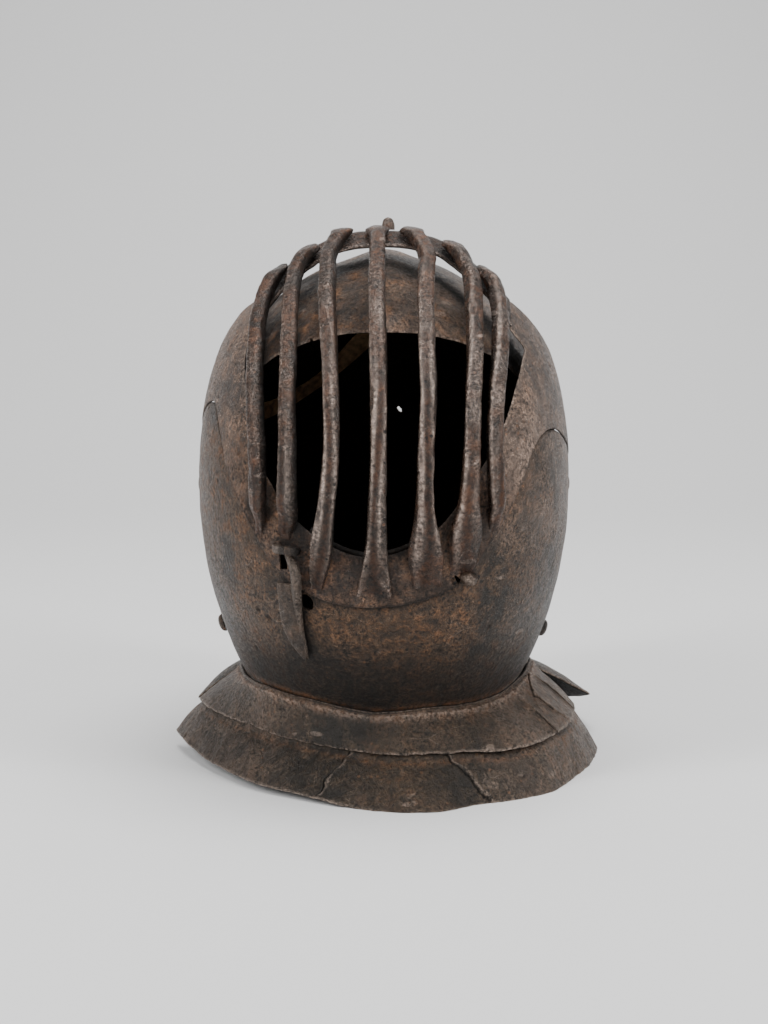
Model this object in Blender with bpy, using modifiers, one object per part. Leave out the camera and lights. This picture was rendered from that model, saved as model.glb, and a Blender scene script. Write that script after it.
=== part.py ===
"""A close helmet with a barred visor, as forged iron plates.

The front faces -Y and +Z is up. The helmet stands on the rims of its neck plates, at Z = 0.
Every plate lies on one shell round the two temple pivots, or a little above or below it, as the
plates of a real close helmet do, because the bevor and the visor turn on those pivots over the skull.
Two angles are used. A bearing goes round the vertical axis, from 0 at the front, plus to +X.
A turn goes round the pivots' axis, from 0 at the front, over 90 at the crown, to 180 at the back.
"""
import math

import bmesh
import bpy
import numpy as np
from mathutils import Matrix, Vector

MM = 0.001

# Driving dimensions
PIVOT_HEIGHT = 162.5 * MM
FACE_HALF_WIDTH = 110.5 * MM
SKULL_HALF_WIDTH = 105.8 * MM
PLATE = 1.8 * MM
BEVOR_PLATE = 2.0 * MM
LAME_PLATE = 1.7 * MM
GAP = 0.3 * MM

# How far the outside of each part stands off the outside of the bevor
VISOR_SIDE_STANDOFF = 0.5 * MM
VISOR_CHIN_STANDOFF = 2.4 * MM
VISOR_CHIN_BEARING = 31.0
VISOR_SIDE_BEARING = 47.0
BAND_THICKNESS = 2.8 * MM
CAGE_STANDOFF = 10.0 * MM

# The small breaks of rest between plates that meet edge to edge
SEAM_GAP = 0.7 * MM
PIVOT_HOLE = 3.4 * MM
PIVOT_SHANK = 3.0 * MM

# Face shell, the outside of the bevor: turn, distance from the pivots' axis, roundness of the section
FACE_SHELL = (
    (-130, 178.0, 2.00),
    (-90, 177.0, 2.00),
    (-70, 169.0, 2.03),
    (-50, 157.5, 2.15),
    (-35, 151.5, 2.25),
    (-21, 147.0, 2.30),
    (-8, 144.2, 2.35),
    (10, 144.5, 2.40),
    (25, 145.5, 2.40),
    (190, 145.5, 2.40),
    (210, 152.0, 2.20),
)

# Skull shell, the outside of the bowl: the same columns, and the height of the comb along its middle
SKULL_SHELL = (
    (-110, 162.0, 2.00, 0.0),
    (-90, 172.0, 2.00, 0.0),
    (-40, 152.0, 2.00, 0.0),
    (0, 141.0, 2.00, 0.5),
    (40, 139.8, 2.00, 1.5),
    (70, 137.2, 2.08, 3.8),
    (100, 136.5, 2.10, 4.5),
    (135, 139.5, 2.08, 3.5),
    (180, 142.5, 2.10, 1.5),
    (220, 142.0, 2.05, 0.5),
    (235, 149.0, 2.00, 0.0),
)
COMB_HALF_WIDTH = 15.0 * MM

# Lower edge of the skull: bearing on either side, height
SKULL_EDGE = (
    (0, 257.5),
    (12, 256.5),
    (25, 251.5),
    (38, 242.5),
    (50, 229.0),
    (60, 210.0),
    (68, 182.0),
    (75, 145.0),
    (81, 105.0),
    (86, 68.0),
    (92, 51.0),
    (110, 50.0),
    (180, 50.0),
)

# Visor plate: bearing and height of the face opening's edge, then of the outer edge, and how far
# the plate's middle is bowed up between them
VISOR_SECTIONS = (
    (-46.0, 268.0, -56.0, 275.0, 0.0),
    (-48.2, 259.0, -69.0, 265.5, 0.0),
    (-45.0, 250.5, -79.0, 248.0, 0.0),
    (-42.6, 242.5, -88.0, 228.0, 0.0),
    (-40.7, 236.5, -95.0, 205.0, 3.0),
    (-39.1, 231.5, -96.0, 187.5, 8.0),
    (-37.5, 226.5, -86.0, 197.0, 7.0),
    (-36.3, 222.5, -75.0, 206.5, 6.5),
    (-34.9, 216.5, -64.0, 214.5, 4.0),
    (-33.4, 208.5, -54.0, 215.5, 1.0),
    (-31.0, 196.0, -46.0, 200.0, 0.0),
    (-28.0, 185.0, -40.5, 182.5, 0.0),
    (-25.0, 176.5, -36.5, 171.0, 0.0),
    (-22.5, 167.0, -32.5, 158.0, 0.0),
    (-18.7, 157.5, -28.5, 143.0, 0.0),
    (-13.5, 147.5, -23.0, 126.5, 0.0),
    (-8.0, 140.8, -13.0, 113.8, 0.0),
    (-3.0, 138.5, -2.5, 110.5, 0.0),
    (2.0, 140.3, 7.0, 113.3, 0.0),
    (7.0, 146.0, 14.0, 119.5, 0.0),
    (12.5, 157.0, 19.0, 129.0, 0.0),
    (16.5, 169.5, 23.3, 143.5, 0.0),
    (20.5, 183.0, 27.0, 156.5, 0.0),
    (23.5, 192.5, 31.0, 172.0, 0.0),
    (25.8, 199.5, 36.8, 192.0, 0.0),
    (28.0, 207.0, 43.0, 200.5, 0.0),
    (31.0, 217.0, 51.0, 202.0, 0.0),
    (33.5, 224.5, 60.0, 197.0, 0.0),
    (36.0, 230.3, 70.0, 189.5, 0.0),
    (38.2, 234.8, 81.5, 181.0, 0.0),
    (40.0, 238.2, 88.5, 179.8, 0.0),
    (41.2, 240.0, 92.0, 178.9, 2.0),
    (42.4, 241.7, 95.0, 175.2, 5.5),
    (43.6, 243.4, 95.6, 181.5, 6.0),
    (46.2, 247.2, 95.0, 205.0, 3.0),
    (44.4, 252.8, 87.0, 228.0, 0.0),
    (42.6, 260.0, 76.0, 250.0, 0.0),
    (44.5, 268.0, 55.0, 274.0, 0.0),
)
FIRST_SEAM_SECTION = 5
LAST_SEAM_SECTION = 32

# Bevor: the lip behind the face opening, the rear edge, and the neck line by bearing
BEVOR_LIP_HEIGHT = 144.0 * MM
BEVOR_REAR_BEARING = 97.5
# Height of the bevor's rear corners, which stay inside the circle that the visor turns in
BEVOR_REAR_LEFT_HEIGHT = 184.0 * MM
BEVOR_REAR_RIGHT_HEIGHT = 166.0 * MM
NECK_LINE = (
    (-100, 49.0),
    (-65, 50.0),
    (-40, 51.5),
    (-20, 48.0),
    (-3, 42.5),
    (12, 44.5),
    (30, 44.0),
    (45, 45.0),
    (65, 50.0),
    (100, 55.0),
)

# Front neck plates: bearing, radius and height of the upper plate's edge, and of the lower rim
FRONT_LAMES = (
    (-89, 114.0, 30.5, 129.0, 10.5),
    (-80, 111.5, 30.5, 124.8, 9.8),
    (-66, 107.0, 30.0, 121.0, 7.5),
    (-50, 105.0, 29.5, 121.5, 6.0),
    (-36, 108.0, 28.0, 126.5, 5.0),
    (-21, 112.5, 27.0, 132.0, 4.0),
    (-9, 116.5, 26.0, 139.5, 1.5),
    (2, 119.5, 25.0, 147.0, 0.0),
    (12, 121.0, 25.0, 149.0, 0.0),
    (21, 122.5, 25.0, 142.0, 0.0),
    (32, 128.0, 25.0, 142.5, 0.0),
    (42, 127.0, 25.0, 142.5, 0.0),
    (55, 122.0, 25.0, 135.0, 0.0),
    (68, 120.0, 25.5, 132.0, 0.0),
    (78, 118.2, 26.5, 131.7, 0.0),
    (87, 117.5, 27.5, 132.3, 0.5),
)
COLLAR_HEIGHT = 2.5 * MM
COLLAR_GAP = 0.9 * MM
LAME_GAP = 0.7 * MM
LAME_OVERLAP = 9.0 * MM

# Rear neck plate: bearing, radius and height of its rim, and how far its middle is bowed up
REAR_RIM = (
    (103, 134.0, 26.0, 0.5),
    (107, 138.0, 23.5, 2.5),
    (113, 142.5, 19.5, 4.5),
    (124, 149.6, 12.5, 5.0),
    (138, 156.0, 5.0, 3.0),
    (150, 157.0, 0.5, 1.5),
    (160, 157.0, 0.0, 0.6),
    (180, 157.33, 0.0, 0.6),
    (200, 157.0, 0.0, 0.6),
    (210, 155.5, 0.5, 1.5),
    (222, 151.0, 5.0, 2.5),
    (236, 141.5, 12.5, 4.0),
    (247, 129.5, 19.5, 4.5),
    (253, 124.5, 23.0, 2.5),
    (257, 121.5, 24.5, 0.5),
)
REAR_NECK_HEIGHT = 52.0 * MM

# Bars: turn and side distance of the foot, side distances at BAR_TURNS, turn and side distance of the top
BAR_TURNS = (0, 13, 24, 35, 48, 57, 63)
BARS = (
    (-7.0, -69.5, (-67.5, -67.5, -69.0, -69.5, -69.0, -65.8, -60.5), 66.5, -57.0),
    (-6.0, -55.0, (-51.8, -51.0, -51.4, -51.0, -51.0, -50.0, -47.2), 70.5, -41.0),
    (-17.5, -37.3, (-30.8, -27.7, -28.0, -29.2, -31.0, -31.0, -30.7), 76.0, -23.0),
    (-18.0, -5.3, (-3.6, -2.9, -2.9, -3.2, -3.8, -3.9, -3.8), 76.2, -3.5),
    (-16.0, 23.5, (21.4, 22.1, 23.5, 22.8, 22.7, 23.6, 23.4), 76.0, 14.5),
    (-14.0, 42.6, (44.5, 46.3, 47.4, 48.7, 49.0, 48.4, 44.8), 71.5, 37.0),
    (-5.5, 60.1, (60.4, 58.7, 59.6, 62.3, 63.6, 61.6, 57.0), 65.2, 55.3),
)
BAR_WIDTH = 9.6 * MM
BAR_THICKNESS = 9.0 * MM
BAR_TOP_THICKNESS = 4.0 * MM
FOOT_THICKNESS = 3.4 * MM
# Width of each foot, and how many degrees of turn it takes to become round
FOOT_WIDTHS = (4.0, 9.0, 11.0, 22.0, 20.0, 12.0, 7.0)
FOOT_LENGTHS = (9.0, 9.0, 12.0, 11.0, 12.0, 10.0, 8.0)

# Arched band: side distance, turn and standoff of its lower edge, of the crease that the bars end
# at, and standoff of its rear edge, which lies BAND_BACK degrees behind the crease
BAND_LINE = (
    (-72, 51.5, 3.7, 60.0, 3.7, 3.7),
    (-66, 54.8, 3.8, 63.3, 4.6, 3.7),
    (-60, 57.8, 4.0, 66.3, 5.6, 3.9),
    (-50, 61.9, 4.0, 69.4, 7.0, 4.6),
    (-40, 65.4, 4.5, 71.8, 8.0, 5.8),
    (-30, 68.2, 5.2, 74.8, 8.8, 6.6),
    (-15, 69.8, 5.6, 76.4, 9.3, 7.3),
    (0, 70.0, 5.8, 76.3, 9.5, 7.5),
    (15, 69.8, 5.6, 76.4, 9.3, 7.3),
    (30, 68.2, 5.2, 74.6, 8.8, 6.6),
    (40, 64.6, 4.5, 71.4, 8.0, 5.8),
    (50, 60.5, 4.0, 67.8, 6.6, 4.4),
    (60, 56.0, 4.0, 64.0, 5.0, 3.8),
    (66, 53.2, 3.8, 61.3, 4.2, 3.7),
    (72, 50.5, 3.7, 58.6, 3.7, 3.7),
)
BAND_BACK = 3.2

# Visor arms under the bevor's ears: bearings of their front and rear edges at the top and the bottom
ARM_TOP_BEARINGS = (67.0, 90.0)
ARM_BOTTOM_BEARINGS = (82.5, 95.0)
ARM_BOTTOM_HEIGHT = 150.0 * MM
ARM_LAP = 9.0 * MM
ARM_TOP_STANDOFF = -0.6 * MM
ARM_STANDOFF = -2.5 * MM

# Hook strap on the left cheek: height, side distance of its left and right edges
STRAP_EDGES = (
    (78.5, -44.0, -41.8),
    (83.0, -48.0, -42.4),
    (89.0, -52.3, -43.2),
    (96.0, -55.6, -44.4),
    (104.0, -57.0, -45.0),
    (113.0, -57.2, -45.6),
    (119.5, -57.9, -47.0),
)
STRAP_THICKNESS = 2.8 * MM
# Round hook at the strap's top: side distance, height, standoff of its middle, radius
HOOK_LINE = (
    (-42.9, 80.0, 1.9, 0.9),
    (-43.9, 89.0, 2.2, 1.5),
    (-45.2, 98.0, 2.3, 1.8),
    (-46.2, 108.0, 2.5, 2.0),
    (-46.6, 114.0, 3.8, 2.5),
    (-46.8, 120.0, 5.9, 2.6),
    (-46.9, 126.0, 6.3, 2.6),
    (-48.0, 131.0, 6.2, 2.5),
    (-49.8, 135.5, 5.8, 2.2),
    (-51.2, 139.0, 5.4, 1.8),
    (-51.8, 141.5, 5.2, 1.4),
)
HOOK_PIVOT = (-45.6, 84.5)
STAPLE_LINE = (
    (-58.2, 144.0, 3.5, 2.1),
    (-58.0, 143.6, 5.4, 2.1),
    (-56.2, 142.8, 8.8, 2.2),
    (-52.2, 142.4, 9.8, 2.3),
    (-48.0, 142.8, 8.8, 2.2),
    (-46.2, 143.6, 5.4, 2.1),
    (-46.0, 144.0, 3.5, 2.1),
)

# Remnant of a strap inside the bowl: bearing, height, half width
LINING_GAP = 1.6 * MM
LINING_LINE = (
    (-178, 256.0, 8.0),
    (-171, 243.0, 8.0),
    (-163, 226.0, 6.0),
    (-154, 213.0, 5.5),
    (-144, 204.0, 6.0),
    (-132, 199.0, 7.0),
    (-120, 197.0, 7.0),
)

# Colours of the iron, its bright and its rusted places, and the strap remnant
DARK_IRON = (0.095, 0.070, 0.055, 1.0)
WORN_IRON = (0.150, 0.120, 0.100, 1.0)
RUSTED_IRON = (0.130, 0.075, 0.045, 1.0)
OLD_LEATHER = (0.060, 0.035, 0.018, 1.0)


def around(rows, column):
    """One column of a shell's table for every whole degree of turn, rounded where the rows meet."""
    turns = [row[0] for row in rows]
    values = [row[column] for row in rows]
    table = np.interp(np.arange(-180, 180), turns, values, period=360)
    window = np.hanning(25)
    window /= window.sum()
    return np.convolve(np.concatenate([table[-12:], table, table[:12]]), window, "valid")


def make_shell(half_width, rows):
    """A shell round the pivots' axis: half width at the pivots, and by turn its radius, its
    roundness and the height of its comb, if its rows have one."""
    return {
        "half_width": half_width,
        "radius": around(rows, 1) * MM,
        "roundness": around(rows, 2),
        "comb": around(rows, 3) * MM if len(rows[0]) > 3 else np.zeros(360),
    }


def read_degrees(table, degrees):
    """Value of a table of whole degrees at any angle."""
    place = (np.asarray(degrees, float) + 180.0) % 360.0
    lower = np.floor(place).astype(int) % 360
    part = place - np.floor(place)
    return table[lower] * (1.0 - part) + table[(lower + 1) % 360] * part


def shell_field(shell, points, standoff):
    """Below zero inside the shell grown by standoff, zero on it, above zero outside."""
    side = np.abs(points[..., 0])
    up = points[..., 2] - PIVOT_HEIGHT
    back = points[..., 1]
    turn = np.degrees(np.arctan2(up, -back))
    roundness = read_degrees(shell["roundness"], turn)
    radius = read_degrees(shell["radius"], turn) + standoff
    comb = read_degrees(shell["comb"], turn)
    radius = radius + comb * np.exp(-((side / COMB_HALF_WIDTH) ** 2))
    along = side / (shell["half_width"] + standoff)
    return along**roundness + (np.hypot(back, up) / radius) ** roundness - 1.0


def cast(shell, origin, direction, standoff=0.0):
    """Where rays from inside the shell leave it, found by halving."""
    origin = np.asarray(origin, float)
    direction = np.asarray(direction, float)
    standoff = np.asarray(standoff, float)
    near = np.zeros(np.broadcast(origin[..., 0], direction[..., 0], standoff).shape)
    far = near + 0.4
    for _ in range(40):
        middle = (near + far) / 2.0
        inside = shell_field(shell, origin + direction * middle[..., None], standoff) < 0.0
        near = np.where(inside, middle, near)
        far = np.where(inside, far, middle)
    return origin + direction * near[..., None]


def on_bearing(shell, bearing, height, standoff=0.0):
    """Points of a shell at a bearing round the vertical axis and a height."""
    bearing, height = np.broadcast_arrays(np.radians(bearing), np.asarray(height, float))
    direction = np.stack([np.sin(bearing), -np.cos(bearing), 0.0 * bearing], -1)
    origin = np.stack([0.0 * height, 0.0 * height, height], -1)
    return cast(shell, origin, direction, standoff)


def on_front(shell, side, height, standoff=0.0):
    """Points of a shell's front half at a side distance and a height."""
    side, height = np.broadcast_arrays(np.asarray(side, float), np.asarray(height, float))
    origin = np.stack([side, 0.0 * side, height], -1)
    return cast(shell, origin, np.array([0.0, -1.0, 0.0]), standoff)


def on_turn(shell, side, turn, standoff=0.0):
    """Points of a shell at a side distance and a turn round the pivots' axis."""
    side, turn = np.broadcast_arrays(np.asarray(side, float), np.radians(turn))
    origin = np.stack([side, 0.0 * side, 0.0 * side + PIVOT_HEIGHT], -1)
    direction = np.stack([0.0 * turn, -np.cos(turn), np.sin(turn)], -1)
    return cast(shell, origin, direction, standoff)


def shell_normal(shell, points, standoff=0.0):
    """Outward unit normals of a shell, from the slope of its field."""
    step = 0.2 * MM
    slopes = []
    for axis in range(3):
        shift = np.zeros(3)
        shift[axis] = step
        ahead = shell_field(shell, points + shift, standoff)
        behind = shell_field(shell, points - shift, standoff)
        slopes.append(ahead - behind)
    normal = np.stack(slopes, -1)
    return normal / np.linalg.norm(normal, axis=-1, keepdims=True)


def smooth_rows(rows, steps):
    """Rows of a table with steps - 1 more between each two, on a smooth curve through them."""
    table = np.array(rows, float)
    first = 2.0 * table[0] - table[1]
    last = 2.0 * table[-1] - table[-2]
    padded = np.vstack([first, table, last])
    result = []
    for index in range(1, len(padded) - 2):
        before, start, end, after = padded[index - 1 : index + 3]
        for part in np.arange(steps) / steps:
            result.append(
                start
                + 0.5 * part * (end - before)
                + part**2 * (before - 2.5 * start + 2.0 * end - 0.5 * after)
                + part**3 * (1.5 * (start - end) + 0.5 * (after - before))
            )
    result.append(table[-1])
    return np.array(result)


def smooth_step(value, low, high):
    """0 below low, 1 above high, and a smooth rise between them."""
    part = np.clip((value - low) / (high - low), 0.0, 1.0)
    return part * part * (3.0 - 2.0 * part)


def new_material(name, colour, roughness, metallic):
    """A Principled material of one colour."""
    material = bpy.data.materials.new(name)
    material.use_nodes = True
    shader = material.node_tree.nodes["Principled BSDF"]
    shader.inputs["Base Color"].default_value = colour
    shader.inputs["Roughness"].default_value = roughness
    shader.inputs["Metallic"].default_value = metallic
    return material


def new_object(name, vertices, faces, material, collection):
    """A mesh object with its outward faces recalculated and its round places smooth."""
    mesh = bpy.data.meshes.new(name)
    mesh.from_pydata([tuple(vertex) for vertex in vertices], [], faces)
    work = bmesh.new()
    work.from_mesh(mesh)
    bmesh.ops.remove_doubles(work, verts=work.verts, dist=1e-6)
    bmesh.ops.recalc_face_normals(work, faces=work.faces)
    work.to_mesh(mesh)
    work.free()
    mesh.shade_smooth()
    mesh.set_sharp_from_angle(angle=math.radians(40.0))
    piece = bpy.data.objects.new(name, mesh)
    collection.objects.link(piece)
    if material is None:
        piece.hide_render = True
        piece.display_type = "WIRE"
    else:
        mesh.materials.append(material)
    return piece


def grid_faces(rows, columns, wrap):
    """Faces of a grid of points, row by row, closed sideways where it wraps."""
    faces = []
    for row in range(rows - 1):
        for column in range(columns if wrap else columns - 1):
            beside = (column + 1) % columns
            faces.append(
                (
                    row * columns + column,
                    row * columns + beside,
                    (row + 1) * columns + beside,
                    (row + 1) * columns + column,
                )
            )
    return faces


def new_sheet(name, grid, thickness, material, collection, wrap=False):
    """A plate: the grid is its outside, and Solidify grows its thickness inwards."""
    rows, columns = grid.shape[:2]
    faces = grid_faces(rows, columns, wrap)
    piece = new_object(name, grid.reshape(-1, 3), faces, material, collection)
    mesh = piece.data
    outward = 0.0
    for face in mesh.polygons:
        away = face.center - Vector((0.0, 0.0, PIVOT_HEIGHT))
        outward += face.area * face.normal.dot(away)
    if outward < 0.0:
        mesh.flip_normals()
    solid = piece.modifiers.new("plate", "SOLIDIFY")
    solid.thickness = thickness
    solid.offset = -1.0
    return piece


def new_loft(name, rings, material, collection):
    """A solid through closed rings of equal length, with flat ends."""
    rings = np.asarray(rings, float)
    count, sides = rings.shape[:2]
    faces = grid_faces(count, sides, True)
    faces.append(tuple(range(sides)))
    faces.append(tuple(range((count - 1) * sides, count * sides)))
    return new_object(name, rings.reshape(-1, 3), faces, material, collection)


def new_turned(name, profile, centre, axis, steps, material, collection):
    """A turned piece: (radius, distance along the axis) from the outer end down, by a Screw modifier."""
    mesh = bpy.data.meshes.new(name)
    points = [(radius, 0.0, along) for radius, along in profile]
    edges = [(index, index + 1) for index in range(len(points) - 1)]
    mesh.from_pydata(points, edges, [])
    piece = bpy.data.objects.new(name, mesh)
    collection.objects.link(piece)
    mesh.materials.append(material)
    screw = piece.modifiers.new("turned", "SCREW")
    screw.angle = 2.0 * math.pi
    screw.steps = steps
    screw.render_steps = steps
    screw.use_merge_vertices = True
    screw.merge_threshold = 1e-5
    screw.use_smooth_shade = True
    turn = Vector((0.0, 0.0, 1.0)).rotation_difference(Vector(axis))
    piece.rotation_mode = "QUATERNION"
    piece.rotation_quaternion = turn
    piece.location = Vector(centre)
    return piece


def use_boolean(piece, tool, operation):
    """Join a tool to a piece, or cut it out of the piece."""
    modifier = piece.modifiers.new(operation.lower(), "BOOLEAN")
    modifier.operation = operation
    modifier.object = tool
    modifier.solver = "EXACT"


def new_cutter(name, centre, axis, radius, length, collection, sides=20):
    """A round cutter with its middle at centre."""
    mesh = bpy.data.meshes.new(name)
    work = bmesh.new()
    bmesh.ops.create_cone(
        work, cap_ends=True, segments=sides, radius1=radius, radius2=radius, depth=length
    )
    work.to_mesh(mesh)
    work.free()
    piece = bpy.data.objects.new(name, mesh)
    collection.objects.link(piece)
    piece.hide_render = True
    piece.display_type = "WIRE"
    piece.rotation_mode = "QUATERNION"
    piece.rotation_quaternion = Vector((0.0, 0.0, 1.0)).rotation_difference(Vector(axis))
    piece.location = Vector(centre)
    return piece


def slot_through(piece, name, shell, point, size, collection):
    """Cut a rectangular slot, wide and high as size says, square to a plate's shell."""
    normal = Vector(shell_normal(shell, np.asarray(point)))
    across = Vector((0.0, 0.0, 1.0)).cross(normal).normalized()
    mesh = bpy.data.meshes.new(name)
    work = bmesh.new()
    bmesh.ops.create_cube(work, size=1.0)
    bmesh.ops.scale(work, vec=(size[0], size[1], 16.0 * MM), verts=work.verts)
    work.to_mesh(mesh)
    work.free()
    cutter = bpy.data.objects.new(name, mesh)
    collection.objects.link(cutter)
    cutter.hide_render = True
    cutter.display_type = "WIRE"
    turned = Matrix((across, normal.cross(across), normal)).transposed()
    cutter.matrix_world = Matrix.Translation(Vector(point)) @ turned.to_4x4()
    use_boolean(piece, cutter, "DIFFERENCE")


def hole_through(piece, name, shell, point, radius, collection):
    """Drill a plate square to its shell at a point on it."""
    normal = shell_normal(shell, np.asarray(point))
    cutter = new_cutter(name, point, normal, radius, 16.0 * MM, collection)
    use_boolean(piece, cutter, "DIFFERENCE")


def build_skull(collection, cutters, shell, material):
    """The bowl: columns of points from its lower edge up to the crown, drilled for the pivots."""
    half = np.array([0, 9, 18, 26, 34, 42, 49, 55, 60, 64, 68, 71.5, 75, 78, 81, 84, 87, 90, 96,
                     104, 114, 124, 135, 146, 157, 168.5])
    bearings = np.concatenate([half, [180.0], -half[:0:-1]])
    edge = np.interp(np.abs(bearings), *np.array(SKULL_EDGE).T) * MM
    centre = np.array([0.0, 0.0, 170.0 * MM])
    low = on_bearing(shell, bearings, edge)
    out = np.hypot(low[:, 0], low[:, 1])
    lift = np.arctan2(low[:, 2] - centre[2], out)
    rows = 13
    part = np.linspace(0.0, 1.0, rows)[:, None]
    angle = lift[None, :] + (math.pi / 2.0 - lift[None, :]) * part
    turn = np.radians(bearings)[None, :]
    direction = np.stack(
        [np.cos(angle) * np.sin(turn), -np.cos(angle) * np.cos(turn), np.sin(angle)], -1
    )
    grid = cast(shell, centre, direction)
    grid[-1] = grid[-1].mean(axis=0)
    skull = new_sheet("skull", grid, PLATE, material, collection, wrap=True)
    bore = new_cutter(
        "skull_pivot_bore", (0.0, 0.0, PIVOT_HEIGHT), (1.0, 0.0, 0.0), PIVOT_HOLE, 0.3, cutters
    )
    use_boolean(skull, bore, "DIFFERENCE")
    brow_left = on_front(shell, -40.5 * MM, 252.5 * MM)
    brow_right = on_front(shell, 33.0 * MM, 250.5 * MM)
    back = on_bearing(shell, 175.5, 198.0 * MM)
    hole_through(skull, "brow_hole_left", shell, brow_left, 1.1 * MM, cutters)
    hole_through(skull, "brow_hole_right", shell, brow_right, 1.1 * MM, cutters)
    hole_through(skull, "back_hole", shell, back, 2.2 * MM, cutters)
    return skull


def outer_edge():
    """Bearings and heights of the visor's outer edge, along the bevor's seam and its two ears."""
    table = smooth_rows(VISOR_SECTIONS, 2)[2 * FIRST_SEAM_SECTION : 2 * LAST_SEAM_SECTION + 1]
    bearings = np.concatenate([[-BEVOR_REAR_BEARING], table[:, 2], [BEVOR_REAR_BEARING]])
    heights = np.concatenate(
        [[BEVOR_REAR_LEFT_HEIGHT], table[:, 3] * MM, [BEVOR_REAR_RIGHT_HEIGHT]]
    )
    return bearings, heights


def build_bevor(collection, cutters, shell, material):
    """The plate over chin and cheeks: from the neck line up to the lip, or to the seam and the ears."""
    bearings, edge = outer_edge()
    top = np.maximum(edge - SEAM_GAP, BEVOR_LIP_HEIGHT)
    bottom = np.interp(bearings, *np.array(NECK_LINE).T) * MM
    part = np.linspace(0.0, 1.0, 11)[:, None]
    height = bottom[None, :] + (top - bottom)[None, :] * part
    grid = on_bearing(shell, np.broadcast_to(bearings, height.shape), height)
    bevor = new_sheet("bevor", grid, BEVOR_PLATE, material, collection)
    bore = new_cutter(
        "bevor_pivot_bore", (0.0, 0.0, PIVOT_HEIGHT), (1.0, 0.0, 0.0), PIVOT_HOLE, 0.3, cutters
    )
    use_boolean(bevor, bore, "DIFFERENCE")
    hole = on_front(shell, -42.0 * MM, 112.0 * MM)
    hole_through(bevor, "cheek_hole", shell, hole, 3.6 * MM, cutters)
    return bevor


def visor_standoff(bearing):
    """How far the visor's outside stands off the bevor's: more over the chin than at the sides."""
    side = smooth_step(np.abs(bearing), VISOR_CHIN_BEARING, VISOR_SIDE_BEARING)
    return VISOR_CHIN_STANDOFF + (VISOR_SIDE_STANDOFF - VISOR_CHIN_STANDOFF) * side


def strip_grid(shell, rows, across):
    """A strip on a shell along a line of bearing, height, half width and standoff."""
    table = smooth_rows(rows, 2)
    line = on_bearing(shell, table[:, 0], table[:, 1] * MM, table[:, 3] * MM)
    along = np.gradient(line, axis=0)
    along /= np.linalg.norm(along, axis=1, keepdims=True)
    normal = shell_normal(shell, line)
    side = np.cross(normal, along)
    centre = np.array([0.0, 0.0, 170.0 * MM])
    grid = []
    for part in np.linspace(-1.0, 1.0, across):
        point = line + side * (part * table[:, 2] * MM)[:, None]
        grid.append(cast(shell, centre, unit(point - centre), table[:, 3] * MM))
    return np.array(grid)


def unit(vectors):
    """Vectors of length 1."""
    return vectors / np.linalg.norm(vectors, axis=-1, keepdims=True)


def arm_grid(shell, side):
    """A visor arm: lapped inside the visor's side plate, then down under the bevor's ear."""
    across = np.linspace(0.0, 1.0, 5)[None, :]
    down = np.linspace(0.0, 1.0, 12)[:, None]
    top = ARM_TOP_BEARINGS[0] + (ARM_TOP_BEARINGS[1] - ARM_TOP_BEARINGS[0]) * across
    bottom = ARM_BOTTOM_BEARINGS[0] + (ARM_BOTTOM_BEARINGS[1] - ARM_BOTTOM_BEARINGS[0]) * across
    bearing = side * (top + (bottom - top) * down)
    edge = outer_edge()
    start = np.interp(side * top, *edge) + ARM_LAP
    height = start + (ARM_BOTTOM_HEIGHT - start) * down
    clear = height - np.interp(bearing, *edge)
    lapped = smooth_step(clear, 1.0 * MM, 6.0 * MM)
    standoff = ARM_STANDOFF + (ARM_TOP_STANDOFF - ARM_STANDOFF) * lapped
    return on_bearing(shell, bearing, height, standoff)


def build_visor(collection, cutters, shell, material):
    """The visor's plate round the face opening, with an arm to each pivot joined inside it."""
    sections = smooth_rows(VISOR_SECTIONS, 2)
    part = np.linspace(0.0, 1.0, 7)[:, None]
    bearing = sections[:, 0] + (sections[:, 2] - sections[:, 0]) * part
    bow = sections[:, 4] * 4.0 * part * (1.0 - part)
    height = (sections[:, 1] + (sections[:, 3] - sections[:, 1]) * part + bow) * MM
    grid = on_bearing(shell, bearing, height, visor_standoff(bearing))
    visor = new_sheet("visor", grid, PLATE, material, collection)
    for name, side in (("arm_left", -1.0), ("arm_right", 1.0)):
        arm = new_sheet(name, arm_grid(shell, side), PLATE, None, cutters)
        use_boolean(visor, arm, "UNION")
    bore = new_cutter(
        "visor_pivot_bore", (0.0, 0.0, PIVOT_HEIGHT), (1.0, 0.0, 0.0), PIVOT_HOLE, 0.3, cutters
    )
    use_boolean(visor, bore, "DIFFERENCE")
    slot = on_front(shell, -54.6 * MM, 135.5 * MM, VISOR_CHIN_STANDOFF)
    slot_through(visor, "hook_slot", shell, slot, (4.8 * MM, 11.0 * MM), cutters)
    stump = on_front(shell, 40.0 * MM, 124.0 * MM, VISOR_CHIN_STANDOFF)
    hole_through(visor, "stump_hole", shell, stump, 2.1 * MM, cutters)
    return visor


def build_band(collection, shell, material):
    """The arched strip over the brow, lapped on the tops of the visor's side plates."""
    side, low_turn, low, high_turn, high, back = smooth_rows(BAND_LINE, 2).T
    grid = [
        on_turn(shell, side * MM, low_turn, low * MM),
        on_turn(shell, side * MM, (low_turn + high_turn) / 2.0, (low + high) / 2.0 * MM),
        on_turn(shell, side * MM, high_turn, high * MM),
        on_turn(shell, side * MM, high_turn + BAND_BACK, back * MM),
    ]
    return new_sheet("crown_band", np.array(grid), BAND_THICKNESS, material, collection)


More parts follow.
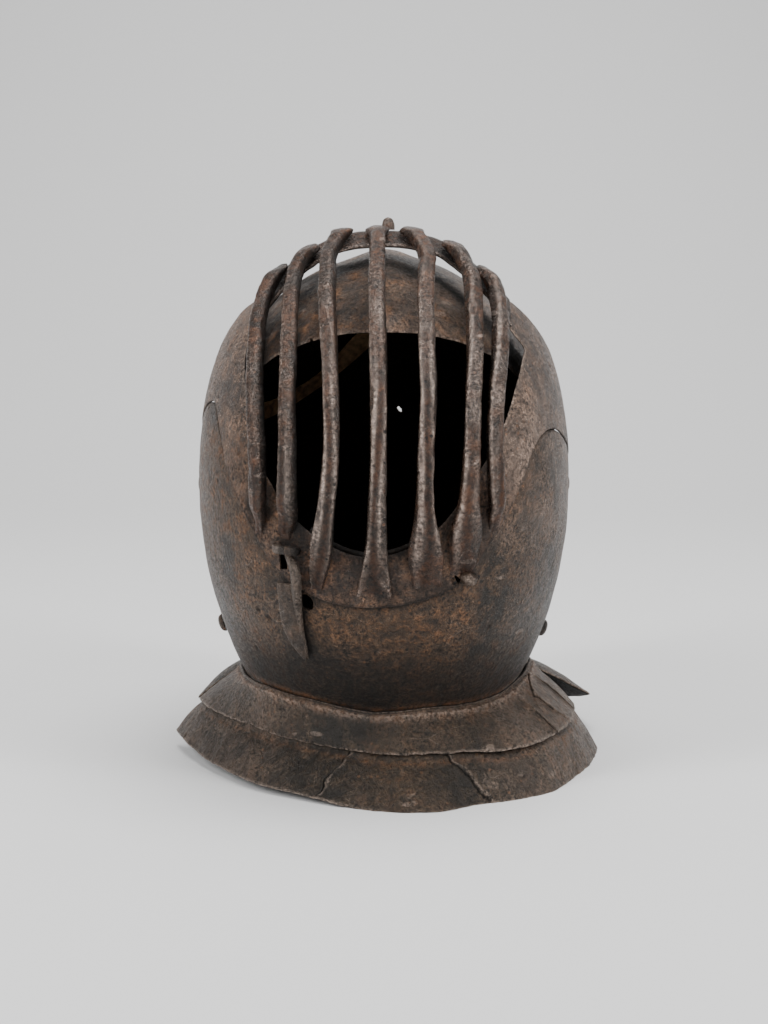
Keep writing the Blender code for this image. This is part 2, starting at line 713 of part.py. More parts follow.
def over_band(side, turn):
    """How far the band's outside stands off the shell, and 1 over the band, 0 well below it."""
    rows = np.array(BAND_LINE).T
    low_turn, low, high_turn, high = (np.interp(side / MM, rows[0], row) for row in rows[1:5])
    part = np.clip((turn - low_turn) / (high_turn - low_turn), 0.0, 1.0)
    return (low + (high - low) * part) * MM, smooth_step(turn, low_turn - 9.0, low_turn - 1.0)


def lifted(shell, points, least):
    """Points moved out along the shell's normal until they stand least off it."""
    for _ in range(6):
        ahead = on_turn(shell, points[..., 0], turn_of(points), least)
        reach = distance_to_axis(points)
        short = np.maximum(distance_to_axis(ahead) - reach, 0.0)
        if short.max() < 1e-6:
            break
        points = points + shell_normal(shell, points) * short[..., None]
    return points


def turn_of(points):
    """Turn of points round the pivots' axis."""
    return np.degrees(np.arctan2(points[..., 2] - PIVOT_HEIGHT, -points[..., 1]))


def distance_to_axis(points):
    """Distance of points from the pivots' axis."""
    return np.hypot(points[..., 1], points[..., 2] - PIVOT_HEIGHT)


def loft_rings(shell, line, widths, thicknesses, sides=8):
    """Oval rings along a line that lies off a shell, wide along the shell and thin across it."""
    along = unit(np.gradient(line, axis=0))
    normal = shell_normal(shell, line)
    normal = unit(normal - along * np.sum(normal * along, axis=1, keepdims=True))
    across = np.cross(normal, along)
    angle = 2.0 * math.pi * (np.arange(sides) + 0.5) / sides
    rings = line[:, None, :] + across[:, None, :] * (
        np.cos(angle)[None, :, None] * widths[:, None, None] / 2.0
    )
    return rings + normal[:, None, :] * (
        np.sin(angle)[None, :, None] * thicknesses[:, None, None] / 2.0
    )


def build_bar(collection, shell, material, number):
    """A forged bar: flattened foot on the visor's lower plate, round shank, top bent over the band."""
    foot_turn, foot_side, sides, top_turn, top_side = BARS[number]
    turns = np.array((foot_turn,) + BAR_TURNS + (top_turn,), float)
    offsets = np.array((foot_side,) + sides + (top_side,)) * MM
    rows = smooth_rows(np.stack([turns, offsets], 1), 2)
    turn, side = rows[:, 0], rows[:, 1]
    grown = smooth_step(turn, foot_turn, foot_turn + FOOT_LENGTHS[number])
    near_top = smooth_step(turn, top_turn - 7.0, top_turn)
    width = (FOOT_WIDTHS[number] * MM) * (1.0 - grown) + BAR_WIDTH * grown
    thick = FOOT_THICKNESS * (1.0 - grown) + BAR_THICKNESS * grown
    thick = thick + (BAR_TOP_THICKNESS - BAR_THICKNESS) * near_top
    plate_top = VISOR_CHIN_STANDOFF + GAP
    rise = smooth_step(turn, foot_turn + 3.0, 12.0)
    standoff = (plate_top + thick / 2.0) * (1.0 - rise) + CAGE_STANDOFF * rise
    standoff = np.maximum(standoff, plate_top + thick / 2.0)
    band, over = over_band(side, turn)
    standoff = standoff + (band + GAP + 0.53 * thick - standoff) * over
    line = on_turn(shell, side, turn, standoff)
    rings = loft_rings(shell, line, width, thick)
    low_end = turn < 5.0
    rings[low_end] = lifted(shell, rings[low_end], plate_top)
    return new_loft("bar_%d" % (number + 1), rings, material, collection)


def build_rod(name, shell, rows, material, collection, steps=2, sides=8):
    """A round rod along a line of side distance, height, standoff and radius on a shell."""
    table = smooth_rows(rows, steps)
    line = on_front(shell, table[:, 0] * MM, table[:, 1] * MM, table[:, 2] * MM)
    along = unit(np.gradient(line, axis=0))
    frame = np.array([0.0, -1.0, 0.0])
    angle = 2.0 * math.pi * np.arange(sides)[:, None] / sides
    rings = []
    for point, tangent, radius in zip(line, along, table[:, 3] * MM):
        frame = unit(frame - tangent * frame.dot(tangent))
        second = np.cross(tangent, frame)
        rings.append(point + radius * (np.cos(angle) * frame + np.sin(angle) * second))
    return new_loft(name, rings, material, collection)


def build_hook(collection, cutters, shell, material):
    """The tapering strap on the cheek, with its round hook joined to its top."""
    rows = smooth_rows(STRAP_EDGES, 2)
    part = np.linspace(0.0, 1.0, 4)[:, None]
    side = (rows[:, 1] + (rows[:, 2] - rows[:, 1]) * part) * MM
    height = np.broadcast_to(rows[:, 0] * MM, side.shape)
    grid = on_front(shell, side, height, STRAP_THICKNESS + GAP)
    strap = new_sheet("hook_strap", grid, STRAP_THICKNESS, material, collection)
    rod = build_rod("hook_rod", shell, HOOK_LINE, None, cutters)
    use_boolean(strap, rod, "UNION")
    return strap


def polar(bearing, radius, height):
    """A point at a bearing round the vertical axis."""
    angle = math.radians(bearing)
    return (radius * math.sin(angle), -radius * math.cos(angle), height)


def flare_profile(bearing, top, bend, edge, thickness, bow=0.8 * MM):
    """Closed section of a flared plate: collar, bend, and skirt down to its edge.

    top, bend and edge are (radius, height) on the outside, and bow lifts the skirt's middle. Where
    the edge meets the floor its inner corner is cut off level, so that its end is a flat foot.
    """
    collar = Vector((bend[0] - top[0], bend[1] - top[1])).normalized()
    skirt = Vector((edge[0] - bend[0], edge[1] - bend[1])).normalized()
    in_collar = Vector((collar.y, -collar.x)) * thickness
    in_skirt = Vector((skirt.y, -skirt.x)) * thickness
    corner = (in_collar + in_skirt) / (1.0 + in_collar.dot(in_skirt) / thickness**2)
    ease = 3.0 * MM
    collar_ease = min(ease, 0.55 * math.hypot(top[0] - bend[0], top[1] - bend[1]))
    outside = [
        Vector(top),
        Vector(bend) - collar * collar_ease,
        Vector(bend) + skirt * ease,
        (Vector(bend) + skirt * ease + Vector(edge)) / 2.0 - in_skirt * (bow / thickness),
        Vector(edge),
    ]
    inner_edge = Vector(edge) + in_skirt
    if inner_edge.y < 0.0:
        inner_edge -= skirt * (inner_edge.y / skirt.y)
    inside = [
        inner_edge,
        outside[3] + in_skirt,
        Vector(bend) + corner + skirt * ease,
        Vector(bend) + corner - collar * collar_ease,
        Vector(top) + in_collar,
    ]
    return [polar(bearing, point.x, point.y) for point in outside + inside]


def build_front_lames(collection, face, upper_material, lower_material):
    """The two flared plates in front, the lower one tucked under the upper."""
    upper, lower = [], []
    for bearing, edge_radius, edge_height, rim_radius, rim_height in smooth_rows(FRONT_LAMES, 2):
        neck = np.interp(bearing, *np.array(NECK_LINE).T) * MM
        skin = on_bearing(face, bearing, neck + COLLAR_HEIGHT)
        collar_radius = math.hypot(skin[0], skin[1]) + COLLAR_GAP + LAME_PLATE
        foot = on_bearing(face, bearing, neck)
        bend_radius = math.hypot(foot[0], foot[1]) + COLLAR_GAP + LAME_PLATE + 1.0 * MM
        bend = Vector((bend_radius, neck + 0.5 * MM))
        edge = Vector((edge_radius, edge_height)) * MM
        upper.append(
            flare_profile(bearing, (collar_radius, neck + COLLAR_HEIGHT), bend, edge, LAME_PLATE)
        )
        slope = (edge - bend).normalized()
        under = Vector((slope.y, -slope.x)) * (LAME_PLATE + LAME_GAP)
        start = edge - slope * LAME_OVERLAP + under
        turn = edge + under + slope * 1.0 * MM
        rim = Vector((rim_radius, max(rim_height, 0.0))) * MM
        lower.append(flare_profile(bearing, start, turn, rim, LAME_PLATE))
    new_loft("gorget_upper_lame", upper, upper_material, collection)
    new_loft("gorget_lower_lame", lower, lower_material, collection)


def build_rear_gorget(collection, shell, material):
    """The flared plate at the back of the neck."""
    profiles = []
    for bearing, rim_radius, rim_height, bow in smooth_rows(REAR_RIM, 2):
        skin = on_bearing(shell, bearing, REAR_NECK_HEIGHT + COLLAR_HEIGHT)
        collar_radius = math.hypot(skin[0], skin[1]) + COLLAR_GAP + LAME_PLATE
        foot = on_bearing(shell, bearing, REAR_NECK_HEIGHT)
        bend_radius = math.hypot(foot[0], foot[1]) + COLLAR_GAP + LAME_PLATE + 1.0 * MM
        rim = Vector((rim_radius, max(rim_height, 0.0))) * MM
        profiles.append(
            flare_profile(
                bearing,
                (collar_radius, REAR_NECK_HEIGHT + COLLAR_HEIGHT),
                (bend_radius, REAR_NECK_HEIGHT),
                rim,
                LAME_PLATE,
                bow * MM,
            )
        )
    return new_loft("rear_gorget", profiles, material, collection)


def rivet_profile(radius, height):
    """Domed rivet head: radius and distance along the axis, from the top down."""
    return (
        (0.0, height),
        (0.5 * radius, 0.92 * height),
        (0.85 * radius, 0.62 * height),
        (radius, 0.25 * height),
        (radius, 0.0),
        (0.0, 0.0),
    )


def build_pivot(name, side, collection, material):
    """The rivet at a temple: a head outside the bevor, a shank, and a head inside the skull."""
    face = FACE_HALF_WIDTH + GAP
    inside = SKULL_HALF_WIDTH - PLATE - 3.0 * GAP
    profile = (
        (0.0, face + 1.7 * MM),
        (3.0 * MM, face + 1.5 * MM),
        (5.4 * MM, face + 0.6 * MM),
        (5.6 * MM, face),
        (PIVOT_SHANK, face),
        (PIVOT_SHANK, inside),
        (5.0 * MM, inside),
        (4.6 * MM, inside - 1.2 * MM),
        (0.0, inside - 1.2 * MM),
    )
    return new_turned(
        name, profile, (0.0, 0.0, PIVOT_HEIGHT), (side, 0.0, 0.0), 14, material, collection
    )


def build_rivet(name, shell, bearing, height, standoff, size, collection, material):
    """A rivet head seated on a shell at a bearing and a height."""
    seat = on_bearing(shell, bearing, height, standoff)
    normal = shell_normal(shell, seat, standoff)
    radius, rise = size
    return new_turned(
        name, rivet_profile(radius, rise), seat, normal, 12, material, collection
    )


def build_lining(collection, shell, material):
    """The strap remnant inside the bowl, close to its wall."""
    inside = -(PLATE + LINING_GAP) / MM
    rows = [row + (inside,) for row in LINING_LINE]
    grid = strip_grid(shell, rows, 3)
    return new_sheet("lining_strap", grid, 1.6 * MM, material, collection)


def build_crest_lug(collection, shell, material):
    """The small forged lug on the band's top, just behind the middle bar."""
    crease, high, back = (BAND_LINE[len(BAND_LINE) // 2][column] for column in (3, 4, 5))
    base = on_turn(shell, 2.6 * MM, 78.4, high * MM)
    top = on_turn(shell, 2.2 * MM, 78.8, high * MM + 6.4 * MM)
    line = base[None, :] + (top - base)[None, :] * np.linspace(0.0, 1.0, 5)[:, None]
    radii = np.array([4.2, 4.1, 3.8, 3.2, 2.0]) * MM
    rings = []
    for point, radius in zip(line, radii):
        ring = []
        for index in range(8):
            angle = 2.0 * math.pi * index / 8.0
            ring.append(point + radius * np.array([math.cos(angle), 0.7 * math.sin(angle), 0.0]))
        rings.append(ring)
    rings = np.array(rings)
    behind = (turn_of(rings[0]) - crease) / BAND_BACK
    seat = (high + (back - high) * behind) * MM + GAP
    rings[0] = on_turn(shell, rings[0][:, 0], turn_of(rings[0]), seat)
    return new_loft("crest_lug", rings, material, collection)


def new_hinge(name, place, collection):
    """An empty on a joint's axis, which the moving pieces hang from."""
    hinge = bpy.data.objects.new(name, None)
    hinge.location = place
    hinge.empty_display_size = 0.02
    collection.objects.link(hinge)
    return hinge


def hang(pieces, hinge):
    """Parent pieces to a hinge and leave them where they are."""
    bpy.context.view_layer.update()
    for piece in pieces:
        place = piece.matrix_world.copy()
        piece.parent = hinge
        piece.matrix_parent_inverse = hinge.matrix_world.inverted()
        piece.matrix_world = place


def main():
    for old in list(bpy.data.objects):
        bpy.data.objects.remove(old)
    helmet = bpy.data.collections.new("tournament_helmet")
    cutters = bpy.data.collections.new("cutters")
    bpy.context.scene.collection.children.link(helmet)
    bpy.context.scene.collection.children.link(cutters)

    face = make_shell(FACE_HALF_WIDTH, FACE_SHELL)
    bowl = make_shell(SKULL_HALF_WIDTH, SKULL_SHELL)
    dark = new_material("dark_iron", DARK_IRON, 0.55, 0.6)
    worn = new_material("worn_iron", WORN_IRON, 0.40, 0.7)
    rusted = new_material("rusted_iron", RUSTED_IRON, 0.70, 0.4)
    leather = new_material("old_leather", OLD_LEATHER, 0.85, 0.0)

    build_skull(helmet, cutters, bowl, dark)
    build_lining(helmet, bowl, leather)
    build_rear_gorget(helmet, bowl, dark)
    build_pivot("pivot_left", -1.0, helmet, worn)
    build_pivot("pivot_right", 1.0, helmet, worn)

    bevor_hinge = new_hinge("bevor_hinge", (0.0, 0.0, PIVOT_HEIGHT), helmet)
    bevor_pieces = [build_bevor(helmet, cutters, face, dark)]
    build_front_lames(helmet, face, dark, dark)
    bevor_pieces.append(bpy.data.objects["gorget_upper_lame"])
    bevor_pieces.append(bpy.data.objects["gorget_lower_lame"])
    for name, bearing, height in (("neck_rivet_left", -86.0, 78.0), ("neck_rivet_right", 87.0, 74.5)):
        bevor_pieces.append(
            build_rivet(name, face, bearing, height * MM, GAP, (5.5 * MM, 3.6 * MM), helmet, worn)
        )
    hang(bevor_pieces, bevor_hinge)

    visor_hinge = new_hinge("visor_hinge", (0.0, 0.0, PIVOT_HEIGHT), helmet)
    visor_pieces = [build_visor(helmet, cutters, face, dark), build_band(helmet, face, worn)]
    for number in range(len(BARS)):
        visor_pieces.append(build_bar(helmet, face, worn, number))
    visor_pieces.append(build_rod("staple", face, STAPLE_LINE, worn, helmet))
    visor_pieces.append(
        build_rivet(
            "staple_stump", face, 18.6, 125.5 * MM, VISOR_CHIN_STANDOFF + GAP,
            (3.0 * MM, 3.4 * MM), helmet, rusted,
        )
    )
    visor_pieces.append(build_crest_lug(helmet, face, worn))
    hang(visor_pieces, visor_hinge)

    seat = on_front(face, HOOK_PIVOT[0] * MM, HOOK_PIVOT[1] * MM)
    hook_hinge = new_hinge("hook_hinge", seat, helmet)
    hang([build_hook(helmet, cutters, face, worn)], hook_hinge)
    hang([visor_hinge, hook_hinge], bevor_hinge)


main()
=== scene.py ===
"""A close helmet with a barred visor: forged iron plates and bars, dark, worn and rusted."""
import math

import bmesh
import bpy
import numpy as np
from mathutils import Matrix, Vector


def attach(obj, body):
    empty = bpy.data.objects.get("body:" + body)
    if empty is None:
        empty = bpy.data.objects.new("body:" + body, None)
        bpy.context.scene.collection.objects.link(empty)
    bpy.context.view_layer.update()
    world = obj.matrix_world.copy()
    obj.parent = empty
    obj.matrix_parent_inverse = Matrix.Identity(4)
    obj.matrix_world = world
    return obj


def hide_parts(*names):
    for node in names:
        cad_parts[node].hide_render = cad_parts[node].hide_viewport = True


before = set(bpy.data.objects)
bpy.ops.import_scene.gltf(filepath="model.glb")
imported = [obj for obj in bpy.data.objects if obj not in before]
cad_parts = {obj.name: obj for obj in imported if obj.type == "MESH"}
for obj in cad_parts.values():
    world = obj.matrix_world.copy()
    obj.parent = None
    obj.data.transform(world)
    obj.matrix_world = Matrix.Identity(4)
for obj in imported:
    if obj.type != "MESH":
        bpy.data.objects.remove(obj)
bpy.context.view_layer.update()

# The room: a pale seamless sweep under and behind the helmet, a wide soft light overhead, a tall
# narrow one on either side, one for the backdrop, and a camera a little above the helmet's middle.
FLOOR_GREY = (0.70, 0.70, 0.70, 1.0)
CAMERA_PLACE = (0.0, -1.106, 0.2857)
CAMERA_DIP = 7.264
CAMERA_LENS = 64.55


def new_mesh(name, points, faces):
    """A mesh object from arrays of points and of faces with the same number of corners each."""
    mesh = bpy.data.meshes.new(name)
    faces = np.asarray(faces)
    points = np.asarray(points, float).reshape(-1, 3)
    mesh.vertices.add(len(points))
    mesh.vertices.foreach_set("co", points.ravel())
    mesh.loops.add(faces.size)
    mesh.loops.foreach_set("vertex_index", faces.ravel())
    mesh.polygons.add(len(faces))
    mesh.polygons.foreach_set("loop_start", np.arange(len(faces)) * faces.shape[1])
    mesh.update(calc_edges=True)
    piece = bpy.data.objects.new(name, mesh)
    bpy.context.scene.collection.objects.link(piece)
    return piece


def grid_quads(index):
    """Quads of a grid of point numbers, each from a point to the next along, up, and back."""
    corners = [index[:-1, :-1], index[:-1, 1:], index[1:, 1:], index[1:, :-1]]
    return np.stack(corners, -1).reshape(-1, 4)


# flat to a little way behind the helmet, then up a quarter of an ellipse
across = np.linspace(-4.0, 4.0, 9)
along = np.linspace(0.0, 1.0, 60)
climb = np.maximum(along - 0.6, 0.0) / 0.4 * math.pi / 2
run = np.where(along < 0.6, -4.0 + along * 8.5, 1.1 + np.sin(climb) * 2.0)
rise = (1.0 - np.cos(climb)) * 3.2
sweep = np.stack(np.broadcast_arrays(across[None, :], run[:, None], rise[:, None]), -1)
floor = new_mesh("floor", sweep, grid_quads(np.arange(sweep[..., 0].size).reshape(sweep.shape[:2])))
floor.data.shade_smooth()
paint = bpy.data.materials.new("pale_paint")
paint.use_nodes = True
paint.node_tree.nodes["Principled BSDF"].inputs["Base Color"].default_value = FLOOR_GREY
paint.node_tree.nodes["Principled BSDF"].inputs["Roughness"].default_value = 0.9
floor.data.materials.append(paint)

for name, place, width, tall, power in (
    ("left_light", (-1.30, -1.00, 1.0), 0.34, 1.5, 31.0),
    ("right_light", (1.30, -1.00, 1.0), 0.34, 1.5, 25.0),
    ("top_light", (0.25, -0.20, 2.1), 1.4, 1.4, 47.0),
    ("back_light", (0.0, 0.75, 1.9), 1.5, 1.5, 25.0),
):
    light = bpy.data.lights.new(name, "AREA")
    light.shape = "RECTANGLE"
    light.size = width
    light.size_y = tall
    light.energy = power
    lamp = bpy.data.objects.new(name, light)
    lamp.location = place
    aim = Vector((0.0, 3.0 if name == "back_light" else 0.0, 0.15)) - Vector(place)
    lamp.rotation_euler = aim.to_track_quat("-Z", "Y").to_euler()
    bpy.context.scene.collection.objects.link(lamp)

world = bpy.data.worlds.new("room")
world.use_nodes = True
world.node_tree.nodes["Background"].inputs["Color"].default_value = (1.0, 0.99, 0.98, 1.0)
world.node_tree.nodes["Background"].inputs["Strength"].default_value = 0.24
bpy.context.scene.world = world

camera = bpy.data.objects.new("camera", bpy.data.cameras.new("camera"))
camera.data.lens = CAMERA_LENS
camera.data.sensor_width = 36.0
camera.location = CAMERA_PLACE
camera.rotation_euler = (math.radians(90.0 - CAMERA_DIP), 0.0, 0.0)
bpy.context.scene.collection.objects.link(camera)
bpy.context.scene.camera = camera

# The skull: the bowl for the head, raised from one sheet of iron, with a low comb along its middle,
# hammer marks all over, two small holes at the brow and a torn one in the back.
MM = 0.001
PIVOT_HEIGHT = 162.5 * MM
PLATE = 1.8 * MM
SKULL_HALF_WIDTH = 105.8 * MM
CROWN_HEIGHT = 170.0 * MM
# Turn round the pivots' axis, radius, roundness of the section, height of the comb
SKULL_SHELL = (
    (-110, 162.0, 2.00, 0.0),
    (-90, 172.0, 2.00, 0.0),
    (-40, 152.0, 2.00, 0.0),
    (0, 141.0, 2.00, 0.5),
    (40, 139.8, 2.00, 1.5),
    (70, 137.2, 2.08, 3.8),
    (100, 136.5, 2.10, 4.5),
    (135, 139.5, 2.08, 3.5),
    (180, 142.5, 2.10, 1.5),
    (220, 142.0, 2.05, 0.5),
    (235, 149.0, 2.00, 0.0),
)
COMB_HALF_WIDTH = 15.0 * MM
# Bearing on either side of the front, height of the bowl's edge
SKULL_EDGE = (
    (0, 257.5), (12, 256.5), (25, 251.5), (38, 242.5), (50, 229.0), (60, 210.0), (68, 182.0),
    (75, 145.0), (81, 105.0), (86, 68.0), (92, 51.0), (110, 50.0), (180, 50.0),
)
# Side distance and turn of the painted shadow that the crown band casts on the bowl
BAND_SHADOW = (
    (-70, 80.5), (-50, 79.5), (-30, 77.0), (-14, 73.0), (2, 69.0), (15, 69.0), (32, 66.0),
    (49, 62.5), (68, 58.0),
)
# Side distance and height of the two holes at the brow
BROW_HOLES = ((-40.5, 252.5), (33.0, 250.5))
BROW_HOLE_RADIUS = 1.1 * MM
TORN_HOLE_BEARING = 175.5
TORN_HOLE_HEIGHT = 198.0 * MM
TORN_HOLE_RADIUS = 1.45 * MM
RIVET_HOLE_RADIUS = 3.3 * MM
SKULL_COLUMNS = 380
SKULL_ROWS = 124
SHARP_ANGLE = 48.0
LATTICE = 32
RANDOM = np.random.RandomState(5).rand(LATTICE, LATTICE, LATTICE, 4)


def smoothed(ring, width):
    """A closed ring of values, each the average of those around it by a bell-shaped window."""
    window = np.hanning(width) / np.hanning(width).sum()
    half = width // 2
    return np.convolve(np.concatenate([ring[-half:], ring, ring[:half]]), window, "valid")


def once_round(steps):
    """Angles once round, in equal steps."""
    return np.linspace(0.0, 2.0 * math.pi, steps + 1)[:-1]


def read(table, place):
    """A table's second column at a place in its first, straight between rows."""
    return np.interp(place, *np.array(table).T)


def bell(value, width):
    """1 at 0 and falling off to both sides: e to the power of minus the squared share of a width."""
    return np.exp(-((value / width) ** 2))


def around(rows, column):
    """A shell's column for every whole degree of turn: straight between rows, then averaged
    over 25 degrees with a bell-shaped window."""
    turns = [row[0] for row in rows]
    table = np.interp(np.arange(-180, 180), turns, [row[column] for row in rows], period=360)
    return smoothed(table, 25)


def shell_of(half_width, rows):
    """A shell round the pivots' axis: half width there, radius, roundness and comb by turn."""
    comb = around(rows, 3) * MM if len(rows[0]) > 3 else np.zeros(360)
    return half_width, around(rows, 1) * MM, around(rows, 2), comb


def at_turn(ring, turn):
    """A ring's value at a turn, straight between its whole degrees."""
    low = np.floor(turn).astype(int) % 360
    part = turn - np.floor(turn)
    return ring[low] * (1.0 - part) + ring[(low + 1) % 360] * part


def shell_field(shell, points, standoff):
    """Zero on the shell grown by standoff, negative inside: the sum of two powers, of the side
    distance over the half width, and of the distance from the pivots' axis over the radius. The
    comb is a bell of the side distance on top of the radius."""
    half_width, radii, powers, combs = shell
    side = np.abs(points[..., 0])
    up = points[..., 2] - PIVOT_HEIGHT
    turn = (np.degrees(np.arctan2(up, -points[..., 1])) + 180.0) % 360.0
    radius = at_turn(radii, turn) + standoff + at_turn(combs, turn) * bell(side, COMB_HALF_WIDTH)
    power = at_turn(powers, turn)
    along_side = (side / (half_width + standoff)) ** power
    return along_side + (np.hypot(points[..., 1], up) / radius) ** power - 1.0


FAR_OUTSIDE = 400.0 * MM


def cast(shell, origin, direction, standoff=0.0):
    """Where rays from inside a shell leave it, found by halving the stretch that holds the place."""
    origin, direction = np.broadcast_arrays(np.asarray(origin, float), direction)
    near = np.zeros(np.broadcast(origin[..., 0], np.asarray(standoff)).shape)
    far = near + FAR_OUTSIDE
    for _ in range(32):
        middle = (near + far) / 2.0
        inside = shell_field(shell, origin + direction * middle[..., None], standoff) < 0.0
        near, far = np.where(inside, middle, near), np.where(inside, far, middle)
    return origin + direction * near[..., None]


def on_bearing(shell, bearing, height, standoff=0.0):
    """Points of a shell at a bearing round the vertical axis and a height: rays level outwards."""
    bearing, height = np.broadcast_arrays(np.radians(bearing), np.asarray(height, float))
    direction = np.stack([np.sin(bearing), -np.cos(bearing), 0.0 * bearing], -1)
    return cast(shell, np.stack([0.0 * height, 0.0 * height, height], -1), direction, standoff)


def on_front(shell, side, height, standoff=0.0):
    """Points of a shell's front at a side distance and a height: rays straight forward."""
    side, height = np.broadcast_arrays(np.asarray(side, float), np.asarray(height, float))
    origin = np.stack([side, 0.0 * side, height], -1)
    return cast(shell, origin, np.array([0.0, -1.0, 0.0]), standoff)


def on_turn(shell, side, turn, standoff):
    """Points of a shell at a side distance and a turn: rays square to the pivots' axis."""
    side, turn = np.broadcast_arrays(np.asarray(side, float), np.radians(turn))
    origin = np.stack([side, 0.0 * side, 0.0 * side + PIVOT_HEIGHT], -1)
    direction = np.stack([0.0 * turn, -np.cos(turn), np.sin(turn)], -1)
    return cast(shell, origin, direction, standoff)


def unit(vectors):
    """Vectors over their length."""
    return vectors / np.maximum(np.linalg.norm(vectors, axis=-1, keepdims=True), 1e-12)


def smooth_step(value, low, high):
    """0 below low, 1 above high, and three times the square less twice the cube between."""
    part = np.clip((value - low) / (high - low), 0.0, 1.0)
    return part * part * (3.0 - 2.0 * part)


def shell_normal(shell, points):
    """Outward normals: the slope of the shell's field along the three axes."""
    steps = 0.2 * MM * np.eye(3)
    ahead = [shell_field(shell, points + step, 0.0) for step in steps]
    behind = [shell_field(shell, points - step, 0.0) for step in steps]
    return unit(np.stack(ahead, -1) - np.stack(behind, -1))


def raised(points, normal, height):
    """Points moved out along their normals by a height in millimetres."""
    return points + normal * (height * MM)[..., None]


def lumps(points, size, kind, octaves=1):
    """Smooth random heights from -1 to 1: a value for each corner of a lattice of cubes, size
    millimetres wide, blended between the eight corners by a smooth step, and halved in size and
    height for each octave. Kind picks another set of values."""
    total = 0.0
    for octave in range(octaves):
        place = np.asarray(points) / (size * MM * 0.5**octave) + 5.37 * (kind + octave + 1)
        cell = np.floor(place).astype(int)
        part = place - cell
        part = part * part * (3.0 - 2.0 * part)
        value = 0.0
        for corner in np.ndindex(2, 2, 2):
            at = (cell + corner) % LATTICE
            weight = np.prod(np.where(corner, part, 1.0 - part), axis=-1)
            value = value + weight * RANDOM[at[..., 0], at[..., 1], at[..., 2], kind % 4]
        total = total + (value * 2.0 - 1.0) * 0.5**octave
    return total


def pits(points, spacing, radius, share, kind=0):
    """Depths from 0 to 1 of rust pits: each cube of a lattice, spacing millimetres wide, may hold
    one at a random place with a random radius, and its floor is the squared remainder of the
    squared distance over it."""
    place = np.asarray(points) / (spacing * MM)
    cell = np.floor(place).astype(int)
    deepest = 0.0
    for shift in np.ndindex(3, 3, 3):
        at = cell + shift - 1
        wrapped = (at + (0, 0, 7 * kind)) % LATTICE
        random = RANDOM[wrapped[..., 0], wrapped[..., 1], wrapped[..., 2]]
        centre = at + random[..., :3]
        reach = radius / spacing * (0.5 + random[..., 0])
        near = 1.0 - np.sum((place - centre) ** 2, axis=-1) / reach**2
        held = (random[..., 3] < share) & (near > 0.0)
        deepest = np.maximum(deepest, np.where(held, near**2, 0.0))
    return deepest


WELD = 0.002 * MM


def mend(mesh, outward):
    """Weld points that meet, and turn the faces outwards where asked."""
    work = bmesh.new()
    work.from_mesh(mesh)
    bmesh.ops.remove_doubles(work, verts=work.verts, dist=WELD)
    if outward:
        bmesh.ops.recalc_face_normals(work, faces=work.faces)
    work.to_mesh(mesh)
    work.free()


def finish_mesh(piece, paints, sharp=SHARP_ANGLE, outward=False):
    """Each paint is a name and a number for each point, which the material reads. Faces are
    smooth but for edges sharper than an angle."""
    for name, values in paints.items():
        layer = piece.data.attributes.new(name, "FLOAT", "POINT")
        layer.data.foreach_set("value", np.ascontiguousarray(values, dtype=np.float32).ravel())
    mend(piece.data, outward)
    piece.data.shade_smooth()
    piece.data.set_sharp_from_angle(angle=math.radians(sharp))
    return piece


def ring_quads(rows, columns):
    """Quads of a tube of point numbers, whose last column joins its first."""
    index = np.arange(rows * columns).reshape(rows, columns)
    return grid_quads(np.concatenate([index, index[:, :1]], axis=1))


# an even painted shade on the insides of the plates
INSIDE_SHADE = 0.8
EDGE_DRAW = 0.32


def close_plate(
    name, outside, normal, thickness, wear_and_highlight=0.0, soot_and_shade=0.0, rust=0.0, dust=0.0, ring=False, floor=False
):
    """A closed plate: the outside grid, the same grid a thickness behind it, and a rim of quads round
    the edge, which is drawn in by a third of the thickness on both sides to round it. Wear with
    painted highlights, soot with painted shade, rust and dust are painted on its outside, rust and an
    even painted shade on its inside. Where it stands on the floor, nothing of it goes below."""
    rows, columns = outside.shape[:2]
    edge = np.zeros((rows, columns))
    edge[0] = 1.0
    if not ring:
        edge[-1] = 1.0
        edge[:, 0] = edge[:, -1] = 1.0
    draw = (edge * thickness * EDGE_DRAW)[..., None] * normal
    outer = outside - draw
    inner = outside - normal * thickness + draw
    count = rows * columns
    index = np.arange(count).reshape(rows, columns)
    if ring:
        loop = np.append(index[0], index[0, 0])
        quads = ring_quads(rows, columns)
    else:
        loop = np.concatenate([index[0], index[1:, -1], index[-1, -2::-1], index[-2::-1, 0]])
        quads = grid_quads(index)
    rim = np.stack([loop[1:], loop[:-1], loop[:-1] + count, loop[1:] + count], -1)
    faces = np.concatenate([quads, quads[:, ::-1] + count, rim])
    flat = outer.reshape(-1, 3)
    facing = np.cross(flat[quads[:, 2]] - flat[quads[:, 0]], flat[quads[:, 3]] - flat[quads[:, 1]])
    if np.sum(facing * normal.reshape(-1, 3)[quads[:, 0]]) < 0.0:
        faces = faces[:, ::-1]
    points = np.concatenate([flat, inner.reshape(-1, 3)])
    if floor:
        points[:, 2] = np.maximum(points[:, 2], 0.0)
    paints = {"wear_and_highlight": (wear_and_highlight, 0.0), "soot_and_shade": (soot_and_shade, INSIDE_SHADE), "rust": (rust, rust)}
    paints["dust"] = (dust, 0.0)
    for paint, sides in paints.items():
        paints[paint] = np.stack([np.broadcast_to(side, (rows, columns)) for side in sides])
    return finish_mesh(new_mesh(name, points, faces), paints)


DRILL_REACH = 8.0 * MM


